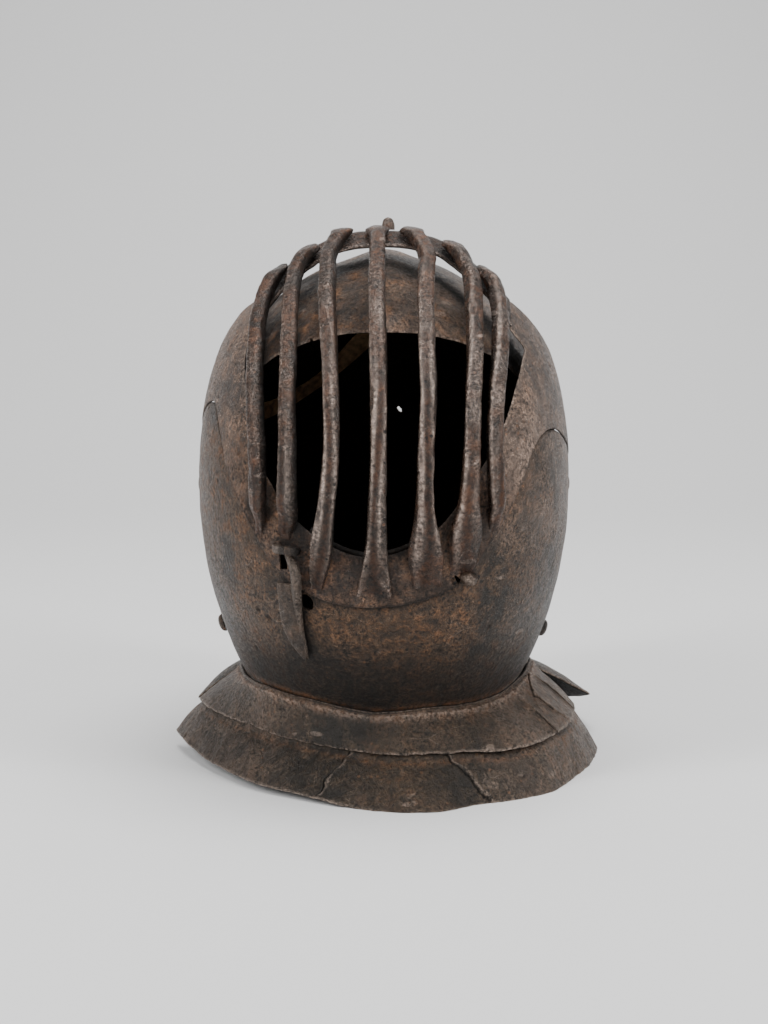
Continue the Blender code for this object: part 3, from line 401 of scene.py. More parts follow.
def drill(centre, normal, radius, uneven=0.12, stretch=1.0, seed=0):
    """A drill for a plate: a closed tube along the normal, its radius uneven by a few waves."""
    normal = unit(np.asarray(normal, float))
    side = unit(np.cross(normal, [0.0, 0.02, 1.0]))
    up = np.cross(side, normal)
    angle = once_round(24)
    waves = np.sin(2 * angle + seed) + 0.5 * np.sin(5 * angle + 2 * seed)
    reach = radius * (1.0 + uneven * waves)
    ring = (np.cos(angle)[:, None] * side + stretch * np.sin(angle)[:, None] * up) * reach[:, None]
    return prism(centre + ring - normal * DRILL_REACH, centre + ring + normal * DRILL_REACH)


def rivet_drill(side):
    """A round drill for the hole of a temple rivet, at a side distance."""
    return drill(np.array([side, 0.0, PIVOT_HEIGHT]), (1.0, 0.0, 0.0), RIVET_HOLE_RADIUS, 0.0)


def prism(bottom, top):
    """A closed tool between two rings of points, one above the other."""
    count = len(bottom)
    here = np.arange(count)
    after = (here + 1) % count
    walls = np.stack([here, after, after + count, here + count], -1)
    caps = [tuple(range(count))[::-1], tuple(range(count, 2 * count))]
    mesh = bpy.data.meshes.new("tool")
    mesh.from_pydata(np.concatenate([bottom, top]).tolist(), [], walls.tolist() + caps)
    mend(mesh, True)
    tool = bpy.data.objects.new("tool", mesh)
    bpy.context.scene.collection.objects.link(tool)
    return tool


def pierce(piece, tools):
    """Cut tools out of a piece with Boolean modifiers, and keep the result as its mesh."""
    for tool in tools:
        cut = piece.modifiers.new("cut", "BOOLEAN")
        cut.operation = "DIFFERENCE"
        cut.solver = "EXACT"
        cut.object = tool
    bpy.context.view_layer.update()
    graph = bpy.context.evaluated_depsgraph_get()
    mesh = bpy.data.meshes.new_from_object(piece.evaluated_get(graph))
    piece.modifiers.clear()
    piece.data = mesh
    for tool in tools:
        bpy.data.objects.remove(tool)
    piece.data.set_sharp_from_angle(angle=math.radians(SHARP_ANGLE))


def node(tree, kind, inputs=(), **settings):
    """A shader node with its settings, and its inputs each a value or another node's socket."""
    made = tree.nodes.new(kind)
    for key, value in settings.items():
        setattr(made, key, value)
    for key, value in dict(inputs).items():
        if isinstance(value, bpy.types.NodeSocket):
            tree.links.new(value, made.inputs[key])
        else:
            made.inputs[key].default_value = value
    return made


def span(value, low, high, start=0.0, end=1.0):
    """A value read from low to high and written from start to end, and held beyond both."""
    made = node(value.id_data, "ShaderNodeMapRange", {0: value, 1: low, 2: high, 3: start, 4: end})
    return made.outputs[0]


def reckon(kind, first, second):
    """Two values multiplied or added, as kind says, and held between 0 and 1."""
    made = node(first.id_data, "ShaderNodeMath", {0: first, 1: second}, operation=kind, use_clamp=True)
    return made.outputs[0]


def times(first, second):
    """Two values multiplied, and held between 0 and 1."""
    return reckon("MULTIPLY", first, second)


def plus(first, second):
    """Two values added, and held between 0 and 1."""
    return reckon("ADD", first, second)


def blend(factor, under, over):
    """Two colours mixed by a factor."""
    mixed = node(factor.id_data, "ShaderNodeMix", {0: factor, 6: under, 7: over}, data_type="RGBA")
    return mixed.outputs[2]


DUST_TAN = (0.245, 0.172, 0.132, 1.0)


def iron(name, colours, rusty, gloss, metal, speckle, grain=1.0, drawn=0.35, flaky=0.04):
    """Old forged iron: blackened scale that turns brown in broad clouds and in a fine mottle, rust in
    patches and specks, a film of tan dust, bare metal where it is rubbed and where a highlight is
    painted, thin scratches, a few flakes, faint upright streaks from scouring, black where soot and
    shade are painted, and a pitted grain of a millimetre or so that lights up and darkens it from
    speck to speck. The colours are those of scale, brown scale, rust and bare metal, which also gives
    the painted highlights."""
    dark, brown, rust, bare_and_lit = (colour + (1.0,) for colour in colours)
    material = bpy.data.materials.new(name)
    material.use_nodes = True
    tree = material.node_tree
    shader = tree.nodes["Principled BSDF"]
    place = node(tree, "ShaderNodeTexCoord").outputs["Object"]
    tall = node(tree, "ShaderNodeMapping", {"Vector": place, "Scale": (1.0, 1.0, 0.16)}).outputs[0]
    slant_settings = {"Vector": place, "Rotation": (0.3, 0.5, 0.0), "Scale": (1.0, 1.0, 3.2)}
    slant = node(tree, "ShaderNodeMapping", slant_settings).outputs[0]

    def noise(vector, scale, detail, rough, distortion=0.0):
        """Noise, whose values crowd about a half."""
        inputs = {"Vector": vector, "Scale": scale, "Detail": detail}
        inputs.update({"Roughness": rough, "Distortion": distortion})
        return node(tree, "ShaderNodeTexNoise", inputs).outputs[0]

    clouds = noise(place, 15.0, 4.0, 0.60, 0.5)
    blots = noise(place, 52.0, 6.0, 0.68, 0.9)
    mottle = noise(place, 150.0, 6.0, 0.75, 0.4)
    grit = noise(place, 560.0, 4.0, 0.80)
    streaks = noise(tall, 460.0, 3.0, 0.60)
    cells = node(tree, "ShaderNodeTexVoronoi", {"Vector": place, "Scale": 290.0})
    chance = node(tree, "ShaderNodeSeparateColor", {0: cells.outputs["Color"]}).outputs
    wear_and_highlight, soot_and_shade, rusted, dust = (
        node(tree, "ShaderNodeAttribute", attribute_name=paint).outputs["Fac"]
        for paint in ("wear_and_highlight", "soot_and_shade", "rust", "dust")
    )

    # thin scratches: where a bent, stretched lattice of cells has its borders, and only in places
    lattice = node(tree, "ShaderNodeTexVoronoi", {"Vector": slant, "Scale": 34.0})
    lattice.feature = "DISTANCE_TO_EDGE"
    lines = times(span(lattice.outputs["Distance"], 0.022, 0.008), span(blots, 0.56, 0.62))

    tone = blend(span(clouds, 0.42, 0.58), dark, brown)
    for pattern, low, high, most, over in (
        (blots, 0.48, 0.60, 0.85, brown),
        (blots, 0.46, 0.36, 0.85, dark),
        (mottle, 0.50, 0.70, 0.7, brown),
        (mottle, 0.47, 0.36, 0.7, dark),
    ):
        tone = blend(span(pattern, low, high, 0.0, most), tone, over)

    # rust, where the clouds and the mottle have it or where it is painted, then dust and specks
    patches = times(times(span(clouds, 0.42, 0.62), span(mottle, 0.50, 0.62)), rusty)
    patches = plus(patches, times(rusted, span(mottle, 0.40, 0.60)))
    tone = blend(patches, tone, rust)
    tone = blend(times(dust, span(mottle, 0.38, 0.60, 0.35, 1.0)), tone, DUST_TAN)
    spot = span(cells.outputs["Distance"], 0.32, 0.20)
    specks = times(spot, span(chance[0], 1.0 - 0.22 * rusty, 1.03 - 0.22 * rusty))
    tone = blend(times(specks, 0.55), tone, rust)

    # bare metal: where it is worn or scratched, where a highlight is painted, and in a few flakes
    rubbed_and_lit = plus(times(wear_and_highlight, span(grit, 0.38, 0.56, 0.1, 1.0)), times(lines, 0.30))
    tone = blend(rubbed_and_lit, tone, bare_and_lit)
    plates = node(tree, "ShaderNodeTexVoronoi", {"Vector": slant, "Scale": 62.0})
    luck = node(tree, "ShaderNodeSeparateColor", {0: plates.outputs["Color"]}).outputs
    flakes = times(span(plates.outputs["Distance"], 0.34, 0.26), span(mottle, 0.44, 0.54))
    flakes = times(flakes, span(luck[2], 1.0 - flaky, 1.005 - flaky))
    tone = blend(times(flakes, 0.5), tone, bare_and_lit)

    # light and dark specks, stronger in the blots, then black ones, and soot with painted shade
    calm = span(grit, 0.30, 0.70, 0.36 - 0.12 * speckle, 0.36 + 0.12 * speckle)
    strong = span(grit, 0.36, 0.62, 0.34 - 0.31 * speckle, 0.34 + 0.33 * speckle)
    shade = node(tree, "ShaderNodeMix", {0: span(blots, 0.42, 0.56), 2: calm, 3: strong}).outputs[0]
    shade = plus(shade, span(streaks, 0.34, 0.66, 0.0, 0.42 * drawn))
    light = node(tree, "ShaderNodeMath", {0: shade, 1: 2.3}, operation="MULTIPLY").outputs[0]
    settings = {"data_type": "RGBA", "blend_type": "MULTIPLY"}
    tone = node(tree, "ShaderNodeMix", {0: 1.0, 6: tone, 7: light}, **settings).outputs[2]
    black = plus(times(times(spot, span(chance[1], 0.90, 0.93)), 0.8), soot_and_shade)
    tone = blend(black, tone, (dark[0] * 0.22, dark[1] * 0.20, dark[2] * 0.19, 1.0))
    tree.links.new(tone, shader.inputs["Base Color"])

    rough = plus(span(grit, 0.34, 0.64, gloss + 0.16, gloss - 0.12), times(patches, 0.25))
    tree.links.new(plus(rough, times(soot_and_shade, 0.35)), shader.inputs["Roughness"])
    shader.inputs["Metallic"].default_value = metal

    # relief: each pattern's strength and its depth in millimetres
    dents = span(cells.outputs["Distance"], 0.0, 0.45)
    bump = None
    for height, strength, depth in (
        (blots, 0.8, 2.0 * grain),
        (mottle, 1.0, 1.7 * grain),
        (dents, 0.5, 0.35 * grain),
        (grit, 1.0, 0.75 * grain),
        (streaks, 0.4, 0.12),
        (lines, 0.5, 0.25),
        (flakes, 0.5, 0.4),
    ):
        inputs = {"Height": height, "Strength": strength, "Distance": depth * MM}
        if bump:
            inputs["Normal"] = bump
        bump = node(tree, "ShaderNodeBump", inputs).outputs[0]
    tree.links.new(bump, shader.inputs["Normal"])
    return material


BARE_AND_LIT_IRON = (0.235, 0.180, 0.145)
skull_iron = iron(
    "skull_iron",
    ((0.022, 0.018, 0.016), (0.075, 0.047, 0.030), (0.150, 0.072, 0.034), BARE_AND_LIT_IRON),
    rusty=0.45, gloss=0.34, metal=0.45, speckle=1.4, drawn=0.7,
)
skull_shell = shell_of(SKULL_HALF_WIDTH, SKULL_SHELL)


def edge_wear(grid, reach, ring=False):
    """1 on a grid's edges, falling to 0 over a number of grid steps inwards."""
    rows, columns = grid.shape[:2]
    row = np.arange(rows)[:, None] + np.zeros((rows, columns))
    column = np.arange(columns)[None, :]
    if ring:
        return bell(row, reach)
    away = np.minimum(np.minimum(row, rows - 1 - row), np.minimum(column, columns - 1 - column))
    return bell(away, reach)


bearing = np.linspace(-180.0, 180.0, SKULL_COLUMNS + 1)[:-1]
edge = smoothed(read(SKULL_EDGE, np.abs(bearing)) * MM, 9)
low = on_bearing(skull_shell, bearing, edge)
crown = np.array([0.0, 0.0, CROWN_HEIGHT])
lift = np.arctan2(low[:, 2] - crown[2], np.hypot(low[:, 0], low[:, 1]))
rise = np.linspace(0.0, 1.0, SKULL_ROWS)[:, None]
angle = lift + (math.pi / 2.0 - lift) * rise
facing = np.radians(bearing)
level = np.cos(angle)
direction = np.stack([level * np.sin(facing), -level * np.cos(facing), np.sin(angle)], -1)
bowl = cast(skull_shell, crown, direction)
normal = shell_normal(skull_shell, bowl)
hammered = 0.5 * lumps(bowl, 38.0, 1) + 0.22 * lumps(bowl, 13.0, 2, 2)
hollow = pits(bowl, 7.0, 1.8, 0.18)
bowl = raised(bowl, normal, hammered - 0.75 - 0.35 * hollow)
bowl[-1] = bowl[-1].mean(axis=0)
normal[-1] = unit(normal[-1].mean(axis=0))

# painted shadow under the band, painted shade by the opening, darker at left, rust on the brow, dust
# at right
side, depth = bowl[..., 0] / MM, bowl[..., 1] / MM
turn = np.degrees(np.arctan2(bowl[..., 2] - PIVOT_HEIGHT, -bowl[..., 1]))
arc = read(BAND_SHADOW, side) + 1.5 * lumps(bowl, 12.0, 3, 2)
shadow = bell(turn - arc, np.where(turn > arc, 2.6, 4.0)) * (np.abs(side) < 74.0)
brow = smooth_step(arc - turn, 3.0, 9.0) * (depth < -20.0)
# painted shade at the sides below the band, where the bowl lies in the gap behind the visor's edge
under = smooth_step(np.abs(side), 62.0, 70.0) * (depth < -10.0) * (turn < arc)
blotch = brow * np.clip(0.04 - 0.6 * lumps(bowl, 13.0, 1, 2), 0.0, 0.5)
left_side = 0.20 * smooth_step(-side, 20.0, 60.0)
soot_and_shade = np.clip(0.5 * hollow + 0.80 * shadow + 0.6 * under + blotch + left_side, 0.0, 0.92)
rust = brow * np.clip(0.2 + 0.9 * lumps(bowl, 9.0, 2, 2), 0.0, 1.0)
dusty = np.clip(0.25 * (side > 0.0) * (0.6 + lumps(bowl, 22.0, 2, 2)), 0.0, 1.0)
worn_and_lit = 0.6 * edge_wear(bowl, 1.0, True)
skull = close_plate("skull_bowl", bowl, normal, PLATE - 0.3 * MM, worn_and_lit, soot_and_shade, rust, dusty, ring=True)

tools = []
for side, high in BROW_HOLES:
    spot = on_front(skull_shell, side * MM, high * MM)
    tools.append(drill(spot, shell_normal(skull_shell, spot), BROW_HOLE_RADIUS))
torn = on_bearing(skull_shell, TORN_HOLE_BEARING, TORN_HOLE_HEIGHT)
tools.append(drill(torn, shell_normal(skull_shell, torn), TORN_HOLE_RADIUS, 0.25, 1.35, 3))
tools += [rivet_drill(-SKULL_HALF_WIDTH), rivet_drill(SKULL_HALF_WIDTH)]
pierce(skull, tools)
skull.data.materials.append(skull_iron)
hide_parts("skull")
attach(skull, "skull")

# The lining strap: what is left of a leather strap inside the bowl, riveted near the crown and
# again at the left side, stiff, dark and curled along its edges.
LINING_THICKNESS = 1.4 * MM
LINING_DEPTH = PLATE + 1.7 * MM
# Bearing, height and half width along the strap
LINING_LINE = (
    (-178, 256.0, 8.0),
    (-171, 243.0, 8.0),
    (-163, 226.0, 6.0),
    (-154, 213.0, 5.5),
    (-144, 204.0, 6.0),
    (-132, 199.0, 7.0),
    (-120, 197.0, 7.0),
)


def curve_through(rows, steps):
    """Rows with more between each two, on smooth cubics: each stretch's slopes at its ends are
    half the difference of the rows on either side."""
    table = np.asarray(rows, float)
    padded = np.concatenate([[2.0 * table[0] - table[1]], table, [2.0 * table[-1] - table[-2]]])
    before, start, end, after = (padded[k : k + len(table) - 1, None] for k in range(4))
    part = (np.arange(steps) / steps).reshape((1, steps) + (1,) * (table.ndim - 1))
    made = (
        start
        + 0.5 * part * (end - before)
        + part**2 * (before - 2.5 * start + 2.0 * end - 0.5 * after)
        + part**3 * (1.5 * (start - end) + 0.5 * (after - before))
    )
    return np.concatenate([made.reshape((-1,) + table.shape[1:]), table[-1:]])


line = curve_through(LINING_LINE, 14)
middle = on_bearing(skull_shell, line[:, 0], line[:, 1] * MM, -LINING_DEPTH)
normal = shell_normal(skull_shell, middle)
side = np.cross(normal, unit(np.gradient(middle, axis=0)))
spread = np.linspace(-1.0, 1.0, 13)[:, None]
strap = middle + side * (spread * line[:, 2] * MM * 0.95)[..., None]
strap = cast(skull_shell, crown, unit(strap - crown), -LINING_DEPTH)
curl = 0.8 * spread**2 + 0.35 * lumps(strap, 14.0, 1)
strap = raised(strap, normal, -np.maximum(curl, 0.0))
facing = np.broadcast_to(normal, strap.shape)
lining = close_plate("lining_strap_leather", strap, facing, LINING_THICKNESS)
leather = bpy.data.materials.new("old_leather")
leather.use_nodes = True
tree = leather.node_tree
shader = tree.nodes["Principled BSDF"]
place = node(tree, "ShaderNodeTexCoord").outputs["Object"]
crackle = node(tree, "ShaderNodeTexNoise", {"Vector": place, "Scale": 220.0, "Detail": 5.0}).outputs[0]
tone = blend(span(crackle, 0.35, 0.68), (0.22, 0.12, 0.055, 1.0), (0.50, 0.31, 0.16, 1.0))
tree.links.new(tone, shader.inputs["Base Color"])
shader.inputs["Roughness"].default_value = 0.8
bumps = node(tree, "ShaderNodeBump", {"Height": crackle, "Strength": 0.5, "Distance": 0.4 * MM})
tree.links.new(bumps.outputs[0], shader.inputs["Normal"])
lining.data.materials.append(leather)
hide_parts("lining_strap")
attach(lining, "skull")

# The rear neck plate: one flared sheet riveted to the skull's lower edge at the back, thick at
# its rim, standing on the floor behind.

# Thickness of the neck plates, how far their top stands over the neck line, and their clearance
LAME = 1.7 * MM
COLLAR_HEIGHT = 2.5 * MM
COLLAR_GAP = 0.9 * MM
BEND_GAP = 1.9 * MM
REAR_NECK_HEIGHT = 52.0 * MM
# Bearing, radius and height of the rim, and how far the plate's middle is bowed up
REAR_RIM = (
    (103, 134.0, 26.0, 0.5),
    (107, 138.0, 23.5, 2.5),
    (113, 142.5, 19.5, 4.5),
    (124, 149.6, 12.5, 5.0),
    (138, 156.0, 5.0, 3.0),
    (150, 157.0, 0.5, 1.5),
    (160, 157.0, 0.0, 0.6),
    (180, 157.33, 0.0, 0.6),
    (200, 157.0, 0.0, 0.6),
    (210, 155.5, 0.5, 1.5),
    (222, 151.0, 5.0, 2.5),
    (236, 141.5, 12.5, 4.0),
    (247, 129.5, 19.5, 4.5),
    (253, 124.5, 23.0, 2.5),
    (257, 121.5, 24.5, 0.5),
)
lame_iron = iron(
    "lame_iron",
    ((0.016, 0.013, 0.010), (0.050, 0.034, 0.022), (0.130, 0.062, 0.030), BARE_AND_LIT_IRON),
    rusty=0.40, gloss=0.37, metal=0.4, speckle=1.15, grain=1.2, drawn=0.2, flaky=0.10,
)


FLARE_STEPS = 12


def flare(bearing, top, bend, rim, bow):
    """A flared plate's outside: at each bearing a section from its top over a soft bend down to
    its rim, on a smooth curve through six places, bowed out between bend and rim."""
    skirt = rim - bend
    away = unit(np.stack([-skirt[:, 1], skirt[:, 0]], -1))
    places = [
        top,
        top + (bend - top) * 0.55,
        bend + skirt * 0.06 + away * 0.25 * MM,
        bend + skirt * 0.30 + away * bow[:, None] * 0.84,
        bend + skirt * 0.65 + away * bow[:, None] * 0.91,
        rim,
    ]
    section = curve_through(np.stack(places), FLARE_STEPS)
    turned = np.radians(bearing)[None, :]
    radius, height = section[..., 0], section[..., 1]
    return np.stack([radius * np.sin(turned), -radius * np.cos(turned), height], -1)


def grid_normal(grid):
    """Normals of a grid of points: the cross product of its slopes along its two ways."""
    normal = unit(np.cross(np.gradient(grid, axis=1), np.gradient(grid, axis=0)))
    return normal * np.sign(np.sum(normal[..., 2]))


def neck_section(shell, bearing, neck_height, drop):
    """Radius and height of a neck plate's top, a little over the neck line, and of its bend at
    the neck line, both clear of the shell."""
    places = []
    for over, gap, lift in ((COLLAR_HEIGHT, COLLAR_GAP, 0.0), (0.0, BEND_GAP, drop)):
        ring = on_bearing(shell, bearing, neck_height + over)
        radius = np.hypot(ring[:, 0], ring[:, 1]) + LAME + gap
        places.append(np.stack([radius, neck_height + over + lift], -1))
    return places


rear = curve_through(REAR_RIM, 24)
bearing = rear[:, 0]
rim = np.stack([rear[:, 1], np.maximum(rear[:, 2], 0.0)], -1) * MM
top, bend = neck_section(skull_shell, bearing, np.full_like(bearing, REAR_NECK_HEIGHT), 0.0)
ragged = lumps(np.stack([bearing * 2.0 * MM, 0 * bearing, 0 * bearing], -1), 9.0, 2, 2)
rim[:, 0] -= (np.abs(ragged) + 0.2) * MM
skirt = flare(bearing, top, bend, rim, rear[:, 3] * MM)
normal = grid_normal(skirt)
marks = 0.45 * lumps(skirt, 26.0, 3) + 0.2 * lumps(skirt, 9.0, 1, 2)
hollow = pits(skirt, 6.0, 1.5, 0.2, 2)
skirt = raised(skirt, normal, marks - 0.65 - 0.4 * hollow)
worn_and_lit, soot_and_shade = edge_wear(skirt, 1.2), 0.5 * hollow
rear_plate = close_plate("rear_neck_plate", skirt, normal, LAME - 0.2 * MM, worn_and_lit, soot_and_shade, floor=True)
rear_plate.data.materials.append(lame_iron)
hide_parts("rear_gorget")
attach(rear_plate, "skull")

# The bevor: the plate over chin and cheeks, forged to the same shell as the visor so that both
# turn on the temples, with its ears rounded over them, and hammered smoother than the skull.
FACE_HALF_WIDTH = 110.5 * MM
BEVOR_THICKNESS = 1.7 * MM
# Turn round the pivots' axis, radius, roundness of the section
FACE_SHELL = (
    (-130, 178.0, 2.00),
    (-90, 177.0, 2.00),
    (-70, 169.0, 2.03),
    (-50, 157.5, 2.15),
    (-35, 151.5, 2.25),
    (-21, 147.0, 2.30),
    (-8, 144.2, 2.35),
    (10, 144.5, 2.40),
    (25, 145.5, 2.40),
    (190, 145.5, 2.40),
    (210, 152.0, 2.20),
)
# Bearing and height of the face opening's edge, then of the outer edge, and the bow between them
VISOR_SECTIONS = (
    (-46.0, 268.0, -56.0, 275.0, 0.0),
    (-48.2, 259.0, -69.0, 265.5, 0.0),
    (-45.0, 250.5, -79.0, 248.0, 0.0),
    (-42.6, 242.5, -88.0, 228.0, 0.0),
    (-40.7, 236.5, -95.0, 205.0, 3.0),
    (-39.1, 231.5, -96.0, 187.5, 8.0),
    (-37.5, 226.5, -86.0, 197.0, 7.0),
    (-36.3, 222.5, -75.0, 206.5, 6.5),
    (-34.9, 216.5, -64.0, 214.5, 4.0),
    (-33.4, 208.5, -54.0, 215.5, 1.0),
    (-31.0, 196.0, -46.0, 200.0, 0.0),
    (-28.0, 185.0, -40.5, 182.5, 0.0),
    (-25.0, 176.5, -36.5, 171.0, 0.0),
    (-22.5, 167.0, -32.5, 158.0, 0.0),
    (-18.7, 157.5, -28.5, 143.0, 0.0),
    (-13.5, 147.5, -23.0, 126.5, 0.0),
    (-8.0, 140.8, -13.0, 113.8, 0.0),
    (-3.0, 138.5, -2.5, 110.5, 0.0),
    (2.0, 140.3, 7.0, 113.3, 0.0),
    (7.0, 146.0, 14.0, 119.5, 0.0),
    (12.5, 157.0, 19.0, 129.0, 0.0),
    (16.5, 169.5, 23.3, 143.5, 0.0),
    (20.5, 183.0, 27.0, 156.5, 0.0),
    (23.5, 192.5, 31.0, 172.0, 0.0),
    (25.8, 199.5, 36.8, 192.0, 0.0),
    (28.0, 207.0, 43.0, 200.5, 0.0),
    (31.0, 217.0, 51.0, 202.0, 0.0),
    (33.5, 224.5, 60.0, 197.0, 0.0),
    (36.0, 230.3, 70.0, 189.5, 0.0),
    (38.2, 234.8, 81.5, 181.0, 0.0),
    (40.0, 238.2, 88.5, 179.8, 0.0),
    (41.2, 240.0, 92.0, 178.9, 2.0),
    (42.4, 241.7, 95.0, 175.2, 5.5),
    (43.6, 243.4, 95.6, 181.5, 6.0),
    (46.2, 247.2, 95.0, 205.0, 3.0),
    (44.4, 252.8, 87.0, 228.0, 0.0),
    (42.6, 260.0, 76.0, 250.0, 0.0),
    (44.5, 268.0, 55.0, 274.0, 0.0),
)
# The rows of VISOR_SECTIONS whose outer edge is the seam between visor and bevor
SEAM = (5, 32)
VISOR_STEPS = 12
BEVOR_REAR = 97.5
# Heights of the bevor's upper edge at its rear end, on the left and on the right
BEVOR_REAR_HEIGHTS = (184.0 * MM, 166.0 * MM)
BEVOR_LIP = 2.6 * MM
# Side distance and height of the round recess beside the hook
BEVOR_HOLE = (-42.0 * MM, 112.0 * MM)
BEVOR_HOLE_RADIUS = 4.0 * MM
# Side distance, height and radius of the deepest rust holes
DEEP_PITS = ((-69.5, 104.2, 1.3), (-63.4, 100.0, 1.6), (58.0, 96.0, 1.0), (30.5, 84.0, 1.1))
# Height, and side distance of the right edge of the hook's strap, beside which its shadow is painted
HOOK_SHADOW = ((78.5, -40.3), (89.0, -41.6), (104.0, -43.2), (121.0, -44.6))
# Bearing and height of the line where the bevor meets the neck plates
NECK_LINE = (
    (-100, 49.0), (-65, 50.0), (-40, 51.5), (-20, 48.0), (-3, 42.5), (12, 44.5), (30, 44.0),
    (45, 45.0), (65, 50.0), (100, 55.0),
)
face_shell = shell_of(FACE_HALF_WIDTH, FACE_SHELL)
bevor_iron = iron(
    "bevor_iron",
    ((0.015, 0.011, 0.008), (0.060, 0.035, 0.020), (0.150, 0.068, 0.030), BARE_AND_LIT_IRON),
    rusty=0.60, gloss=0.33, metal=0.45, speckle=1.5, flaky=0.05,
)

# its upper edge follows the seam with the visor, and dips to a lip under the face opening
sections = curve_through(VISOR_SECTIONS, VISOR_STEPS)
seam = sections[SEAM[0] * VISOR_STEPS : SEAM[1] * VISOR_STEPS + 1 : 2]
seam_bearing = np.concatenate([[-BEVOR_REAR], seam[:, 2], [BEVOR_REAR]])
seam_height = np.concatenate([[BEVOR_REAR_HEIGHTS[0]], seam[:, 3] * MM, [BEVOR_REAR_HEIGHTS[1]]])
bearing = np.union1d(np.linspace(-BEVOR_REAR, BEVOR_REAR, 230), seam_bearing)

# the opening's edge at the chin, carried steeply down on either side of it
chin = sections[(sections[:, 1] < 152.0) & (np.abs(sections[:, 0]) < 17.0)]
chin_bearing = np.concatenate([[-25.0], chin[:, 0], [21.0]])
chin_height = np.concatenate([[100.0], chin[:, 1], [100.0]]) * MM
seam_there = np.interp(bearing, seam_bearing, seam_height)
upper = np.maximum(seam_there - 0.7 * MM, np.interp(bearing, chin_bearing, chin_height) + BEVOR_LIP)
lower = read(NECK_LINE, bearing) * MM
height = lower + (upper - lower) * np.linspace(0.0, 1.0, 110)[:, None]
cheek = on_bearing(face_shell, bearing, height)
normal = shell_normal(face_shell, cheek)
marks = 0.35 * lumps(cheek, 45.0, 2) + 0.20 * lumps(cheek, 12.0, 3, 3)
hollow = pits(cheek, 9.0, 1.5, 0.22, 1)
for side, high, reach in DEEP_PITS:
    spot = on_front(face_shell, side * MM, high * MM)
    hollow = np.maximum(hollow, 1.6 * bell(np.linalg.norm(cheek - spot, axis=-1), reach * MM))
cheek = raised(cheek, normal, marks - 0.5 - 0.4 * hollow)

# rusty at the neck, darker low in front, painted shade at the seams and the hook's painted shadow,
# dust high at right
high, above, below = height / MM, (height - lower) / MM, (seam_there - height) / MM
aside = np.abs(bearing)
worn_and_lit = 0.25 * edge_wear(cheek, 1.0) * (aside > 32.0)
rust = 0.4 * smooth_step(above, 9.0, 0.0) + 0.6 * smooth_step(above, 7.0, 3.0)
# darker low in front: partly dark patina, partly painted shade where the bevor turns down under the
# chin
soot_and_shade = 0.6 * hollow + 0.78 * smooth_step(aside, 75.0, 35.0) * smooth_step(high, 100.0, 64.0)
# a little darker over the lower sides
soot_and_shade = soot_and_shade + 0.22 * smooth_step(aside, 30.0, 60.0) * smooth_step(high, 185.0, 120.0)
# painted shadow of the visor's edge along the seam, and painted shade at the neck crease
soot_and_shade = soot_and_shade + 0.85 * bell(below, 1.4) * (below > -1.5) + 0.5 * smooth_step(above, 7.0, 3.0)
# less of it in the bottom few millimetres, where rust shows; painted shade on the lip hidden behind
# the visor
soot_and_shade = soot_and_shade * (1.0 - 0.8 * smooth_step(above, 7.5, 4.0)) + 0.7 * smooth_step(-below, 3.0, 12.0)
across, up = cheek[..., 0] / MM, cheek[..., 2] / MM
beside = across - read(HOOK_SHADOW, up)
at_hook = smooth_step(up, 78.0, 84.0) * smooth_step(up, 124.0, 118.0)
# the hook strap's painted shadow on the bevor, beside its right edge
soot_and_shade = soot_and_shade + 0.85 * bell(beside, np.where(beside > 0.0, 1.6, 5.0)) * at_hook * (bearing < 0.0)
soot_and_shade = np.clip(soot_and_shade, 0.0, 0.92)
dusty = 0.36 * smooth_step(high, 120.0, 165.0) * (0.8 + 0.6 * lumps(cheek, 18.0, 1, 2))
dusty = np.clip(dusty * (bearing > 0.0), 0.0, 1.0)
bevor = close_plate("bevor_plate", cheek, normal, BEVOR_THICKNESS, worn_and_lit, soot_and_shade, rust, dusty)
hole = on_front(face_shell, *BEVOR_HOLE)
pierce(bevor, [
    drill(hole, shell_normal(face_shell, hole), BEVOR_HOLE_RADIUS, 0.05, 1.2),
    rivet_drill(-FACE_HALF_WIDTH),
    rivet_drill(FACE_HALF_WIDTH),
])
bevor.data.materials.append(bevor_iron)
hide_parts("bevor")
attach(bevor, "bevor")

# The rivets: two through the temples, which the skull, the visor and the bevor turn on, and one
# low on each side of the bevor, each forged with a thick uneven head.
worn_iron = iron(
    "worn_iron",
    ((0.018, 0.013, 0.010), (0.056, 0.036, 0.024), (0.130, 0.062, 0.032), (0.20, 0.155, 0.125)),
    rusty=0.35, gloss=0.32, metal=0.45, speckle=0.6,
)


FORGED_ANGLE = 60.0


def turned_piece(name, profile, centre, axis, uneven=0.05):
    """A turned piece: a profile of radius and distance along the axis, in millimetres, carried
    round it, with the radius made uneven by two slow waves."""
    profile = curve_through(np.array(profile) * MM, 3)
    axis = unit(np.asarray(axis, float))
    side = unit(np.cross(axis, [0.03, 0.0, 1.0]))
    up = np.cross(side, axis)
    angle = once_round(40)
    waves = np.sin(2.0 * angle + 1.0) + 0.4 * np.sin(5.0 * angle)
    radius = np.abs(profile[:, :1]) * (1.0 + uneven * waves)
    ring = np.cos(angle)[None, :, None] * side + np.sin(angle)[None, :, None] * up
    points = np.asarray(centre) + ring * radius[..., None] + axis * profile[:, 1][:, None, None]
    piece = new_mesh(name, points, ring_quads(*radius.shape))
    worn_and_lit = 0.7 * np.clip(profile[:, 1] / np.abs(profile[:, 1]).max(), 0, 1) ** 3
    return finish_mesh(piece, {"wear_and_highlight": np.repeat(worn_and_lit, angle.size)}, FORGED_ANGLE, outward=True)


